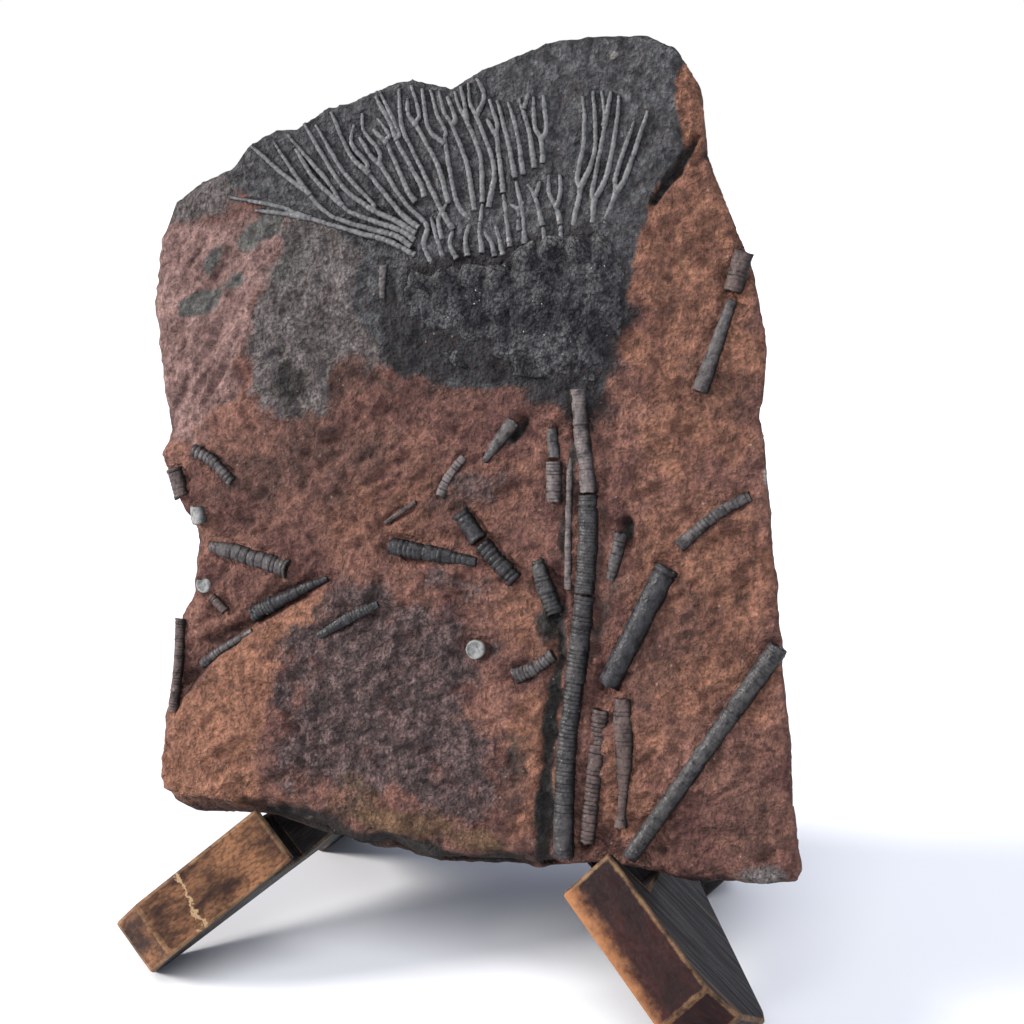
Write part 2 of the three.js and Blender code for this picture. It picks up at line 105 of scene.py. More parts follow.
# Arms in order from the left: a main line from the cup to a tip, then its side branches.
ARM_LINES: tuple[tuple[Points, ...], ...] = (
    (((-14.5, 179), (-24.5, 183.5), (-35, 186), (-50, 190), (-63, 194), (-78.5, 196.5)),
     ((-50, 190), (-60, 191.5), (-69.5, 192.5))),
    (((-16, 181.7), (-22, 185), (-38, 189), (-46.5, 193), (-56, 203.5), (-64, 214)),
     ((-50.5, 197.5), (-59, 203), (-72, 213))),
    (((-15, 183.5), (-20, 186.6), (-34, 191), (-39.5, 194), (-44.5, 201), (-59.5, 216.5)),
     ((-39.5, 194), (-49.5, 202.5), (-56.5, 212))),
    (((-14.6, 185.8), (-22.5, 190), (-28.5, 192.4), (-30, 195.5), (-39.5, 204.5), (-50, 219.5)),
     ((-28.5, 192.4), (-37.5, 198), (-43, 204), (-54, 220))),
    (((-13.8, 187.5), (-19.5, 191.5), (-31, 204), (-32, 207.5), (-37.5, 213.5), (-37, 219.5)),
     ((-31, 204), (-38, 210.5), (-45, 223.5))),
    (((-9, 176.5), (-12, 182.5), (-11.5, 188.5), (-19, 195.5), (-27, 206.5), (-28, 211),
      (-33.5, 217.5), (-34.5, 223)), ((-27, 206.5), (-31, 210), (-35, 215.5))),
    (((-15.3, 195.5), (-18, 199), (-25.5, 213.5), (-25, 216), (-29.2, 221.4)),
     ((-25.5, 213.5), (-30.5, 218))),
    (((-12.5, 197), (-14, 201), (-22.5, 214.5), (-22, 217), (-29, 230)),
     ((-22.5, 214.5), (-25.2, 220.4), (-30.2, 228.2))),
    (((-2.5, 187), (-7, 193.5), (-16.5, 210.5), (-21, 219), (-22.5, 230.5)),),
    (((-4.5, 195), (-8.5, 206.5), (-16, 219), (-15.5, 222.5), (-18.5, 231.5)),
     ((-16, 219), (-19, 222.5), (-19.5, 227.5))),
    (((3, 190), (-2, 196), (-6.5, 213.5), (-6.5, 217), (-9.5, 222.3), (-12.2, 230)),
     ((-6.5, 213.5), (-12, 218), (-15, 230.5))),
    (((4, 193), (1, 206.5), (-4.5, 219), (-7, 222.5), (-9.4, 229.5)),
     ((-4.5, 219), (-3.8, 221.5), (-6.7, 227.8))),
    (((6.5, 195.5), (5, 209.5), (0, 220.5), (-2.4, 224.5), (-4.4, 229.5)),
     ((0, 220.5), (-1, 226), (-2.5, 231))),
    (((8.5, 194), (9.5, 206.5), (3, 222), (1, 225.5), (0, 232)),
     ((3, 222), (5, 226), (5, 229), (2.5, 233.5))),
    (((13, 198.5), (10, 215.5), (10, 219), (7, 227)), ((10, 215.5), (6.5, 221))),
    (((16.5, 203), (13.5, 214.5), (9.5, 226.5)),),
    (((19, 204), (16.5, 216.5), (13, 226)),),
    (((22.5, 206), (20, 217.5), (16.5, 227)), ((18, 224), (19.5, 228.5))),
    (((25, 207.5), (24, 214.5), (22, 218.5), (21, 227.5)), ((24, 214.5), (25.5, 218), (24, 228))),
    (((18.5, 187), (18, 193), (15.5, 195)), ((18, 193), (19.5, 196))),
    (((26, 188.5), (23, 197.5), (20.5, 201)), ((23, 197.5), (24.5, 202))),
    (((31.5, 189), (30, 194), (27.5, 198.5), (27, 204)), ((30, 194), (31, 198.5), (30.5, 204))),
    (((35.5, 188.5), (37, 199.5), (36, 203), (37.5, 215.5), (36.5, 227.5)),
     ((37, 199.5), (41, 211.5), (39.5, 229))),
    (((41.5, 189.5), (41.5, 196), (41, 200), (43.5, 218.5), (42, 229)),
     ((41.5, 196), (45, 204), (47, 217), (47.5, 227.5)), ((43.5, 218.5), (45, 229))),
    (((45, 189.5), (48, 198.5), (48, 204.5), (52.5, 220)), ((48, 198.5), (51, 204), (56.5, 223))),
)
# Short stubs of arms that show between the cup's lobes.
ARM_STUBS: tuple[Points, ...] = (
    ((-1, 178), (-3.5, 182.5), (-2.8, 187)), ((2.5, 179), (1.5, 184), (3, 190)),
    ((7.2, 180), (6, 187), (6.5, 195)), ((-6, 184), (-7.5, 190), (-5, 195)),
    ((16, 182), (14.5, 190), (13, 198)), ((20.5, 183), (19.5, 192), (16.8, 202)),
    ((32, 183), (31.6, 189)), ((36, 184), (35.6, 188.5)), ((27, 183), (26, 188.5)),
    ((-5.5, 178.5), (-8, 185), (-10, 191)),
    ((14, 179.5), (12.5, 184), (10.5, 190.5)),
    ((11.2, 179), (10, 183), (7.5, 186.5)),
)


@dataclass(frozen=True)
class FaceFrame:
    """The leaning axes of the rock face and where they start, in metres."""

    origin: Vector

    @staticmethod
    def from_disc() -> "FaceFrame":
        """Finds the axes from the place of the centre columnal.

        Returns:
            The frame of the rock face.
        """
        low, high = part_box("centre_columnal_disc")
        axes = FaceFrame(Vector())
        middle = axes.matrix() @ Vector((*CENTRE_DISC, DISC_MIDDLE))
        return FaceFrame((low + high) / 2 - middle)

    def matrix(self) -> Matrix:
        """Gives the matrix from face millimetres to metres in the frame.

        Returns:
            A matrix that turns, scales and moves.
        """
        across = Vector((1, 0, 0)) * MM
        up = Vector((0, math.sin(LEAN), math.cos(LEAN))) * MM
        out = Vector((0, -math.cos(LEAN), math.sin(LEAN))) * MM
        turned = Matrix((across, up, out)).transposed().to_4x4()
        turned.translation = self.origin
        return turned


# ------------------------------------------------------------------ number helpers
CELL_PRIMES = np.array([73856093, 19349663, 83492791])
SEED_PRIME = 982451653
SCRAMBLE = 1274126177


def ease(low: float, high: float, value: np.ndarray) -> np.ndarray:
    """Eases from 0 at low to 1 at high.

    Args:
        low: Value that gives 0.
        high: Value that gives 1; it may be the smaller one.
        value: Numbers to ease.

    Returns:
        Numbers from 0 to 1.
    """
    share = np.clip((value - low) / (high - low), 0.0, 1.0)
    return share * share * (3.0 - 2.0 * share)


def lattice(points: np.ndarray, seed: int) -> np.ndarray:
    """Smooth noise from -1 to 1 on a unit lattice.

    Args:
        points: Places, one row of two or three numbers each.
        seed: Whole number that picks the pattern.

    Returns:
        One number for each row.
    """
    if points.shape[1] == 2:
        points = np.column_stack((points, np.zeros(len(points))))
    cell = np.floor(points).astype(np.int64)
    part = points - cell
    part = part * part * part * (part * (part * 6.0 - 15.0) + 10.0)
    total = np.zeros(len(points))
    for corner in range(8):
        step = np.array([(corner >> axis) & 1 for axis in range(3)])
        key = (cell + step) @ CELL_PRIMES + seed * SEED_PRIME
        key = (key ^ (key >> 13)) & 0xFFFFFFFF
        key = (key * SCRAMBLE + 12345) & 0xFFFFFFFF
        key = (key ^ (key >> 15)) & 0xFFFF
        share = np.prod(np.where(step, part, 1.0 - part), axis=1)
        total += share * (key / 32767.5 - 1.0)
    return total


def rough(points: np.ndarray, size: float, seed: int, layers: int = 3) -> np.ndarray:
    """Layered noise with features of about one size.

    Args:
        points: Places in millimetres.
        size: Size of the broadest features, in millimetres.
        seed: Whole number that picks the pattern.
        layers: How many finer layers are added up.

    Returns:
        One number for each place, from about -1 to 1.
    """
    total, weight = np.zeros(len(points)), 1.0
    for layer in range(layers):
        total += weight * lattice(points * (2.03 ** layer / size), seed + layer)
        weight *= 0.5
    return total / (2.0 - 2.0 * weight) * 1.5


def streaks(points: np.ndarray, angle: float, long: float, short: float, seed: int) -> np.ndarray:
    """Noise drawn out along one direction of the face.

    Args:
        points: Places (u, w) in millimetres.
        angle: Direction of the streaks, in degrees from u towards w.
        long: Their length in millimetres.
        short: Their width in millimetres.
        seed: Whole number that picks the pattern.

    Returns:
        One number for each place, from about -1 to 1.
    """
    turn = math.radians(angle)
    along = points @ np.array([math.cos(turn), math.sin(turn)]) / long
    across = points @ np.array([-math.sin(turn), math.cos(turn)]) / short
    return rough(np.column_stack((along, across)), 1.0, seed, 3)


def path_distance(points: np.ndarray, path: Points, closed: bool = False) -> np.ndarray:
    """Distance from each place to a line through some corners.

    Args:
        points: Places (u, w).
        path: The line's corners.
        closed: Whether the line returns to its first corner.

    Returns:
        One distance for each place.
    """
    corners = np.asarray(path, float)
    starts = corners if closed else corners[:-1]
    ends = np.roll(corners, -1, axis=0) if closed else corners[1:]
    best = np.full(len(points), np.inf)
    for start, end in zip(starts, ends):
        run = end - start
        share = np.clip((points - start) @ run / (run @ run), 0.0, 1.0)
        best = np.minimum(best, np.hypot(*(points - start - share[:, None] * run).T))
    return best


def outline_depth(points: np.ndarray, outline: Points) -> np.ndarray:
    """How far each place lies inside an outline.

    Args:
        points: Places (u, w).
        outline: The outline's corners.

    Returns:
        One distance for each place, negative outside.
    """
    corners = np.asarray(outline, float)
    inside = np.zeros(len(points), bool)
    for (x0, y0), (x1, y1) in zip(corners, np.roll(corners, -1, axis=0)):
        spans = (points[:, 1] < y0) != (points[:, 1] < y1)
        if y0 != y1:
            inside ^= spans & (points[:, 0] < x0 + (points[:, 1] - y0) * (x1 - x0) / (y1 - y0))
    return np.where(inside, 1.0, -1.0) * path_distance(points, outline, closed=True)


def oval(at: tuple[float, float], half: tuple[float, float], turn: float = 0.0) -> Points:
    """Outline of a turned ellipse.

    Args:
        at: Its centre.
        half: Its two half lengths.
        turn: How far it is turned, in degrees.

    Returns:
        The outline's corners.
    """
    lean = math.radians(turn)
    sides = 18
    corners = []
    for step in range(sides):
        angle = 2 * math.pi * step / sides
        x, y = half[0] * math.cos(angle), half[1] * math.sin(angle)
        corners.append((at[0] + x * math.cos(lean) - y * math.sin(lean),
                        at[1] + x * math.sin(lean) + y * math.cos(lean)))
    return tuple(corners)


# ------------------------------------------------------------------ mesh helpers
def new_object(name: str, bm: bmesh.types.BMesh, matrix: Matrix) -> bpy.types.Object:
    """Makes an object at the origin from a bmesh.

    Args:
        name: The piece's name.
        bm: Its shape, which is freed.
        matrix: Matrix from the shape's own units to metres in the frame.

    Returns:
        The new object, shaded smooth.
    """
    bm.transform(matrix)
    bmesh.ops.recalc_face_normals(bm, faces=bm.faces)
    mesh = bpy.data.meshes.new(name)
    bm.to_mesh(mesh)
    bm.free()
    mesh.polygons.foreach_set("use_smooth", [True] * len(mesh.polygons))
    piece = bpy.data.objects.new(name, mesh)
    bpy.context.scene.collection.objects.link(piece)
    return piece


def settle_modifiers(piece: bpy.types.Object) -> None:
    """Makes the result of the modifiers the object's own mesh.

    Args:
        piece: The object, whose modifiers go.
    """
    bpy.context.view_layer.update()
    graph = bpy.context.evaluated_depsgraph_get()
    mesh = bpy.data.meshes.new_from_object(
        piece.evaluated_get(graph), preserve_all_data_layers=True, depsgraph=graph)
    piece.modifiers.clear()
    old, piece.data = piece.data, mesh
    bpy.data.meshes.remove(old)
    mesh.name = piece.name
    mesh.polygons.foreach_set("use_smooth", [True] * len(mesh.polygons))


def read_points(mesh: bpy.types.Mesh) -> np.ndarray:
    """Gives the mesh's points.

    Args:
        mesh: The mesh to read.

    Returns:
        One row of three numbers for each point.
    """
    values = np.empty(len(mesh.vertices) * 3)
    mesh.vertices.foreach_get("co", values)
    return values.reshape(-1, 3)


def read_normals(mesh: bpy.types.Mesh) -> np.ndarray:
    """Gives the direction that each point of the mesh faces.

    Args:
        mesh: The mesh to read.

    Returns:
        One row of three numbers for each point.
    """
    values = np.empty(len(mesh.vertices) * 3)
    mesh.vertex_normals.foreach_get("vector", values)
    return values.reshape(-1, 3)


def write_points(mesh: bpy.types.Mesh, points: np.ndarray) -> None:
    """Moves the mesh's points to new places."""
    mesh.vertices.foreach_set("co", points.astype(np.float32).ravel())
    mesh.update()


def write_mask(mesh: bpy.types.Mesh, name: str, values: np.ndarray) -> None:
    """Stores one number for each point of the mesh under a name."""
    layer = mesh.attributes.get(name) or mesh.attributes.new(name, "FLOAT", "POINT")
    layer.data.foreach_set("value", np.asarray(values, np.float32))


def place_inside(piece: bpy.types.Object, matrix: Matrix) -> None:
    """Turns a mesh in face millimetres into metres, kept inside the object's own box.

    Args:
        piece: The object to place.
        matrix: Matrix from face millimetres to metres in the frame.
    """
    piece.data.transform(matrix)
    low, high = (np.array(corner) for corner in CAD_BOX)
    points = read_points(piece.data)
    write_points(piece.data, np.clip(points, low + BOX_MARGIN, high - BOX_MARGIN))


def hand_over(piece: bpy.types.Object, slot: str, material: bpy.types.Material,
              *nodes: str) -> None:
    """Dresses a piece and ties it to the frame.

    Args:
        piece: The finished piece.
        slot: The record's material slot; not used.
        material: Its finish.
        *nodes: The plain solids that it stands for.
    """
    piece.data.materials.clear()
    piece.data.materials.append(material)
    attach(piece, BODY)
    if nodes:
        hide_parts(*nodes)
    piece.data.calc_loop_triangles()
    log.info("%s: %d triangles", piece.name, len(piece.data.loop_triangles))


# ------------------------------------------------------------------ node helpers
class NodeBench:
    """Adds nodes to a tree and joins them up."""

    def __init__(self, tree: bpy.types.NodeTree) -> None:
        """Keeps the tree that the nodes go into."""
        self.tree = tree

    def add(self, kind: str, inputs: dict | None = None, **settings: object) -> bpy.types.Node:
        """Adds one node.

        Args:
            kind: The node's type name without "ShaderNode".
            inputs: Values or sockets for its inputs, by name or number.
            **settings: Properties of the node.

        Returns:
            The new node.
        """
        node = self.tree.nodes.new("ShaderNode" + kind)
        for name, value in settings.items():
            setattr(node, name, value)
        for name, value in (inputs or {}).items():
            if isinstance(value, bpy.types.NodeSocket):
                self.tree.links.new(value, node.inputs[name])
            else:
                node.inputs[name].default_value = value
        return node

    def maths(self, operation: str, first: object, second: object = 0.0) -> bpy.types.NodeSocket:
        """Works out one sum of two numbers or sockets, and gives its socket."""
        return self.add("Math", {0: first, 1: second}, operation=operation).outputs[0]

    def blend(self, share: object, first: object, second: object,
              mode: str = "MIX") -> bpy.types.NodeSocket:
        """Mixes two colours.

        Args:
            share: How much of the second colour shows.
            first: Colour or socket below.
            second: Colour or socket above.
            mode: Blender's name for the way of mixing.

        Returns:
            The mixed colour's socket.
        """
        paint = [value if isinstance(value, bpy.types.NodeSocket) else (*value, 1.0)
                 for value in (first, second)]
        node = self.add("Mix", {0: share, 6: paint[0], 7: paint[1]},
                        data_type="RGBA", blend_type=mode)
        return node.outputs[2]

    def span(self, value: object, low: float, high: float,
             start: float = 0.0, end: float = 1.0) -> bpy.types.NodeSocket:
        """Maps a number from one range to another with soft ends, and gives its socket."""
        return self.add("MapRange", {0: value, 1: low, 2: high, 3: start, 4: end},
                        interpolation_type="SMOOTHSTEP").outputs[0]

    def noise(self, place: object, scale: float, detail: float = 4.0,
              roughness: float = 0.6) -> bpy.types.NodeSocket:
        """Adds a noise pattern and gives the socket of its value."""
        return self.add("TexNoise", {"Vector": place, "Scale": scale, "Detail": detail,
                                     "Roughness": roughness}).outputs[0]

    def mask(self, name: str) -> bpy.types.NodeSocket:
        """Reads one stored mask and gives its socket."""
        return self.add("Attribute", attribute_name=name).outputs["Fac"]

    def group(self, tree: bpy.types.NodeTree, inputs: dict) -> bpy.types.Node:
        """Adds one of the shared groups.

        Args:
            tree: The group's tree.
            inputs: Values, colours or sockets for its inputs, by name.

        Returns:
            The new node.
        """
        node = self.tree.nodes.new("ShaderNodeGroup")
        node.node_tree = tree
        for name, value in inputs.items():
            if isinstance(value, bpy.types.NodeSocket):
                self.tree.links.new(value, node.inputs[name])
            else:
                node.inputs[name].default_value = (
                    (*value, 1.0) if isinstance(value, tuple) else value)
        return node


class SharedGroups:
    """The node groups that more than one finish uses."""

    def __init__(self) -> None:
        """Builds each group once."""
        self.mottle = self._mottle()
        self.grit = self._grit()
        self.broken_edge = self._broken_edge()
        self.worn_edge = self._worn_edge()

    @staticmethod
    def _start(name: str, inputs: dict[str, str], outputs: dict[str, str]) -> tuple:
        """Starts a group with its sockets.

        Args:
            name: The group's name.
            inputs: Socket kinds by input name.
            outputs: Socket kinds by output name.

        Returns:
            The tree, a bench for it, its input node and its output node.
        """
        tree = bpy.data.node_groups.new(name, "ShaderNodeTree")
        for way, sockets in (("INPUT", inputs), ("OUTPUT", outputs)):
            for label, kind in sockets.items():
                tree.interface.new_socket(label, in_out=way, socket_type="NodeSocket" + kind)
        bench = NodeBench(tree)
        return (tree, bench, tree.nodes.new("NodeGroupInput"), tree.nodes.new("NodeGroupOutput"))

    def _mottle(self) -> bpy.types.NodeTree:
        """Builds a group that mottles two colours at one scale.

        Returns:
            The group's tree.
        """
        tree, bench, given, result = self._start(
            "mottled_colour",
            {"Place": "Vector", "Scale": "Float", "Dark": "Color", "Light": "Color",
             "Balance": "Float"}, {"Colour": "Color"})
        cloud = bench.add("TexNoise", {"Vector": given.outputs["Place"],
                                       "Scale": given.outputs["Scale"],
                                       "Detail": 6.0, "Roughness": 0.62}).outputs[0]
        level = bench.maths("ADD", cloud, given.outputs["Balance"])
        share = bench.span(level, 0.36, 0.66)
        colour = bench.blend(share, given.outputs["Dark"], given.outputs["Light"])
        tree.links.new(colour, result.inputs["Colour"])
        return tree

    def _grit(self) -> bpy.types.NodeTree:
        """Builds a group of packed grains with gaps, and rare pale flecks.

        Returns:
            The group's tree.
        """
        tree, bench, given, result = self._start(
            "mineral_grit", {"Place": "Vector", "Scale": "Float"},
            {"Height": "Float", "Gap": "Float", "Fleck": "Float"})
        wobble = bench.add("TexNoise", {"Vector": given.outputs["Place"],
                                        "Scale": given.outputs["Scale"], "Detail": 3.0})
        nudge = bench.add("VectorMath", {0: wobble.outputs["Color"]}, operation="SCALE")
        nudge.inputs["Scale"].default_value = 0.0006
        shifted = bench.add("VectorMath", {0: given.outputs["Place"], 1: nudge.outputs[0]},
                            operation="ADD")
        cells = bench.add("TexVoronoi", {"Vector": shifted.outputs[0],
                                         "Scale": given.outputs["Scale"]})
        fine = bench.maths("MULTIPLY", given.outputs["Scale"], 1.4)
        cloud = bench.add("TexNoise", {"Vector": given.outputs["Place"], "Scale": fine,
                                       "Detail": 1.0, "Roughness": 0.5}).outputs[0]
        height = bench.maths("SUBTRACT", bench.maths("MULTIPLY", cloud, 0.9),
                             bench.maths("MULTIPLY", cells.outputs["Distance"], 0.75))
        tree.links.new(height, result.inputs["Height"])
        gap = bench.span(bench.maths("SUBTRACT", cells.outputs["Distance"],
                                     bench.maths("MULTIPLY", cloud, 0.5)), 0.15, 0.55)
        tree.links.new(gap, result.inputs["Gap"])
        pick = bench.add("SeparateColor", {0: cells.outputs["Color"]})
        near = bench.span(cells.outputs["Distance"], 0.35, 0.22)
        fleck = bench.maths("MULTIPLY", near, bench.maths("GREATER_THAN", pick.outputs[0], 0.985))
        tree.links.new(fleck, result.inputs["Fleck"])
        return tree

    def _broken_edge(self) -> bpy.types.NodeTree:
        """Builds a group that breaks up the edge of a soft mask.

        Returns:
            The group's tree.
        """
        tree, bench, given, result = self._start(
            "broken_edge", {"Place": "Vector", "Mask": "Float", "Scale": "Float",
                            "Break": "Float"}, {"Mask": "Float"})
        cloud = bench.add("TexNoise", {"Vector": given.outputs["Place"],
                                       "Scale": given.outputs["Scale"],
                                       "Detail": 5.0, "Roughness": 0.7}).outputs[0]
        swing = bench.maths("MULTIPLY", bench.maths("SUBTRACT", cloud, 0.5),
                            given.outputs["Break"])
        level = bench.maths("ADD", given.outputs["Mask"], swing)
        tree.links.new(bench.span(level, 0.16, 0.84), result.inputs["Mask"])
        return tree

    def _worn_edge(self) -> bpy.types.NodeTree:
        """Builds a group that turns a raised-edge mask into uneven wear.

        Returns:
            The group's tree.
        """
        tree, bench, given, result = self._start(
            "worn_edge", {"Place": "Vector", "Edge": "Float", "Scale": "Float",
                          "Amount": "Float"}, {"Wear": "Float"})
        cloud = bench.add("TexNoise", {"Vector": given.outputs["Place"],
                                       "Scale": given.outputs["Scale"],
                                       "Detail": 6.0, "Roughness": 0.7}).outputs[0]
        level = bench.maths("ADD", bench.maths("MULTIPLY", given.outputs["Edge"], 0.45),
                            bench.maths("MULTIPLY", cloud, 0.75))
        worn = bench.maths("MULTIPLY", bench.span(level, 0.70, 0.98), given.outputs["Amount"])
        tree.links.new(worn, result.inputs["Wear"])
        return tree


def finish_material(name: str, roughness: float, specular: float) -> tuple:
    """Starts a finish with its shader.

    Args:
        name: The material's name.
        roughness: Roughness all over, until a pattern is joined to it.
        specular: Specular level all over.

    Returns:
        The material, a bench for its tree, its shader node and its place socket.
    """
    material = bpy.data.materials.new(name)
    material.use_nodes = True
    material.node_tree.nodes.clear()
    bench = NodeBench(material.node_tree)
    shader = bench.add("BsdfPrincipled", {"Roughness": roughness, "Specular IOR Level": specular})
    bench.add("OutputMaterial", {"Surface": shader.outputs[0]})
    place = bench.add("TexCoord").outputs["Object"]
    return material, bench, shader, place


def join_bump(bench: NodeBench, shader: bpy.types.Node, height: bpy.types.NodeSocket,
              depth: float) -> None:
    """Joins a height pattern to a shader.

    Args:
        bench: Bench of the material's tree.
        shader: The shader.
        height: Socket of the height pattern.
        depth: Depth of the pattern in metres.
    """
    bump = bench.add("Bump", {"Strength": 1.0, "Distance": depth, "Height": height})
    bench.tree.links.new(bump.outputs[0], shader.inputs["Normal"])


# ------------------------------------------------------------------ finishes
@dataclass(frozen=True)
class Tint:
    """Two colours that show where a mask of the rock face is strong."""

    mask: str
    dark: Colour
    light: Colour
    scale: float
    breakup: float
    balance: float = 0.0


@dataclass(frozen=True)
class RockFinish:
    """Dry sandy mudstone, mottled, with coloured areas that the slab's masks place, and painted light and
    shade on its relief.
    """

    name: str = "mottled_mudstone"
    dark: Colour = (0.120, 0.052, 0.044)
    light: Colour = (0.270, 0.128, 0.094)
    tints: tuple[Tint, ...] = (
        Tint("warm", (0.180, 0.080, 0.054), (0.315, 0.146, 0.092), 110, 0.9),
        Tint("umber", (0.066, 0.033, 0.027), (0.165, 0.082, 0.062), 160, 0.9),
        Tint("smoky", (0.098, 0.083, 0.080), (0.205, 0.180, 0.174), 150, 0.5),
        Tint("crown", (0.046, 0.047, 0.051), (0.118, 0.120, 0.125), 260, 0.4),
        Tint("soot", (0.012, 0.012, 0.015), (0.046, 0.046, 0.050), 300, 1.0),
        Tint("mauve", (0.180, 0.102, 0.090), (0.350, 0.212, 0.186), 130, 0.5),
        Tint("green", (0.085, 0.085, 0.078), (0.150, 0.145, 0.135), 200, 0.7),
        Tint("orange", (0.245, 0.110, 0.070), (0.370, 0.172, 0.106), 100, 0.5),
        Tint("purple", (0.060, 0.040, 0.040), (0.185, 0.122, 0.116), 240, 1.9),
        Tint("ochre", (0.100, 0.054, 0.032), (0.205, 0.115, 0.064), 140, 1.2),
        # Black: most of its patches fill grooves and hollows, as painted shade.
        Tint("black", (0.010, 0.011, 0.010), (0.052, 0.050, 0.045), 260, 0.8),
        Tint("pale", (0.200, 0.190, 0.170), (0.380, 0.360, 0.330), 400, 0.8),
    )

    def build(self, shared: SharedGroups) -> bpy.types.Material:
        """Builds the material.

        Args:
            shared: The shared node groups.

        Returns:
            The material.
        """
        material, bench, shader, place = finish_material(self.name, 0.9, 0.25)
        ground = bench.group(shared.mottle, {"Place": place, "Scale": 55.0, "Dark": self.dark,
                                             "Light": self.light, "Balance": 0.0})
        grain = bench.noise(place, 430.0, 4.0, 0.72)
        colour = ground.outputs["Colour"]
        for tint in self.tints:
            paint = bench.group(shared.mottle, {"Place": place, "Scale": float(tint.scale),
                                                "Dark": tint.dark, "Light": tint.light,
                                                "Balance": tint.balance})
            edge = bench.group(shared.broken_edge, {
                "Place": place, "Mask": bench.mask(tint.mask), "Scale": 130.0,
                "Break": tint.breakup})
            colour = bench.blend(edge.outputs["Mask"], colour, paint.outputs["Colour"])
        # The grain noise that raises the bump below also lightens the colour on its rises and darkens it in
        # its dips: painted light and painted shade.
        level = bench.span(grain, 0.32, 0.68, 0.54, 1.30)
        shade = bench.add("CombineColor", {0: level, 1: level, 2: level}).outputs[0]
        colour = bench.blend(1.0, colour, shade, "MULTIPLY")
        grit = bench.group(shared.grit, {"Place": place, "Scale": 760.0})
        coarse = bench.mask("coarse")
        # Dark in the gaps between grains, which the bump sets low: painted shade.
        colour = bench.blend(bench.maths("MULTIPLY", grit.outputs["Gap"],
                                         bench.span(coarse, 0.0, 1.0, 0.20, 0.60)),
                             colour, (0.030, 0.018, 0.016))
        # Dark where the pit mask marks the relief's hollows: painted shade.
        colour = bench.blend(bench.maths("MULTIPLY", bench.mask("pit"), 0.8), colour,
                             (0.026, 0.016, 0.015))
        colour = bench.blend(bench.maths("MULTIPLY", grit.outputs["Fleck"], 0.30), colour,
                             (0.46, 0.37, 0.29))
        bench.tree.links.new(colour, shader.inputs["Base Color"])
        gloss = bench.span(bench.noise(place, 300.0), 0.3, 0.7, 0.78, 0.96)
        bench.tree.links.new(gloss, shader.inputs["Roughness"])
        lumps = bench.noise(place, 250.0, 1.5, 0.5)
        height = bench.maths("MULTIPLY", grit.outputs["Height"],
                             bench.span(coarse, 0.0, 1.0, 0.45, 1.1))
        height = bench.maths("ADD", height, bench.maths("MULTIPLY", grain, 2.0))
        height = bench.maths("ADD", height, bench.maths("MULTIPLY", lumps, 1.8))
        join_bump(bench, shader, height, 0.0024)
        return material


class StemLook(Enum):
    """How a length of stem is preserved: dark colour, light colour, specular level."""

    CHARCOAL = ((0.005, 0.005, 0.006), (0.037, 0.034, 0.034), 0.26)
    SLATE = ((0.012, 0.010, 0.011), (0.060, 0.053, 0.052), 0.20)
    MAUVE = ((0.026, 0.021, 0.022), (0.092, 0.076, 0.073), 0.2)
    BLACK = ((0.003, 0.003, 0.004), (0.024, 0.023, 0.025), 0.24)
    PALE = ((0.075, 0.078, 0.074), (0.190, 0.188, 0.178), 0.25)
    UMBER = ((0.020, 0.014, 0.014), (0.066, 0.046, 0.041), 0.18)
    ARM = ((0.040, 0.040, 0.042), (0.100, 0.099, 0.100), 0.24)


@dataclass(frozen=True)
class FossilFinish:
    """Matt fossil stem or arm: dark in its furrows, paler along the worn ribs, with painted shade low on
    the flanks and a painted highlight along the top.
    """

    look: StemLook
    furrow: float = 0.78
    grain: float = 900.0

    def build(self, shared: SharedGroups) -> bpy.types.Material:
        """Builds the material.

        Args:
            shared: The shared node groups.

        Returns:
            The material.
        """
        dark, light, specular = self.look.value
        material, bench, shader, place = finish_material(
            "fossil_" + self.look.name.lower(), 0.6, specular)
        ground = bench.group(shared.mottle, {"Place": place, "Scale": 380.0, "Dark": dark,
                                             "Light": light, "Balance": 0.03})
        # The crest mask is low in the furrows and on the lower flanks and high along the top, on stems more
        # on the upper left. So this darkening is dark furrows together with painted shade on the flanks.
        crest = bench.mask("crest")
        shade = bench.span(crest, 0.05, 0.85, 1.0 - self.furrow, 1.25)
        colour = bench.blend(1.0, ground.outputs["Colour"], bench.add(
            "CombineColor", {0: shade, 1: shade, 2: shade}).outputs[0], "MULTIPLY")
        # This wear pales the high crest along the top: worn ribs together with a painted highlight.
        worn = bench.group(shared.worn_edge, {"Place": place, "Edge": crest, "Scale": 700.0,
                                              "Amount": 0.5})
        colour = bench.blend(worn.outputs["Wear"], colour,
                             tuple(min(1.0, 1.6 * part) for part in light))
        dust = bench.span(bench.noise(place, 210.0, 5.0, 0.7), 0.58, 0.80, 0.0, 0.30)
        colour = bench.blend(dust, colour, (0.085, 0.056, 0.048))
        grit = bench.group(shared.grit, {"Place": place, "Scale": self.grain})
        colour = bench.blend(bench.maths("MULTIPLY", grit.outputs["Fleck"], 0.3), colour,
                             (0.30, 0.27, 0.23))
        bench.tree.links.new(colour, shader.inputs["Base Color"])
        gloss = bench.span(bench.noise(place, 600.0), 0.3, 0.7, 0.36, 0.62)
        bench.tree.links.new(gloss, shader.inputs["Roughness"])
        fine = bench.noise(place, 950.0, 1.5, 0.5)
        height = bench.maths("ADD", bench.maths("MULTIPLY", grit.outputs["Height"], 0.5), fine)
        join_bump(bench, shader, height, 0.00034)
        return material


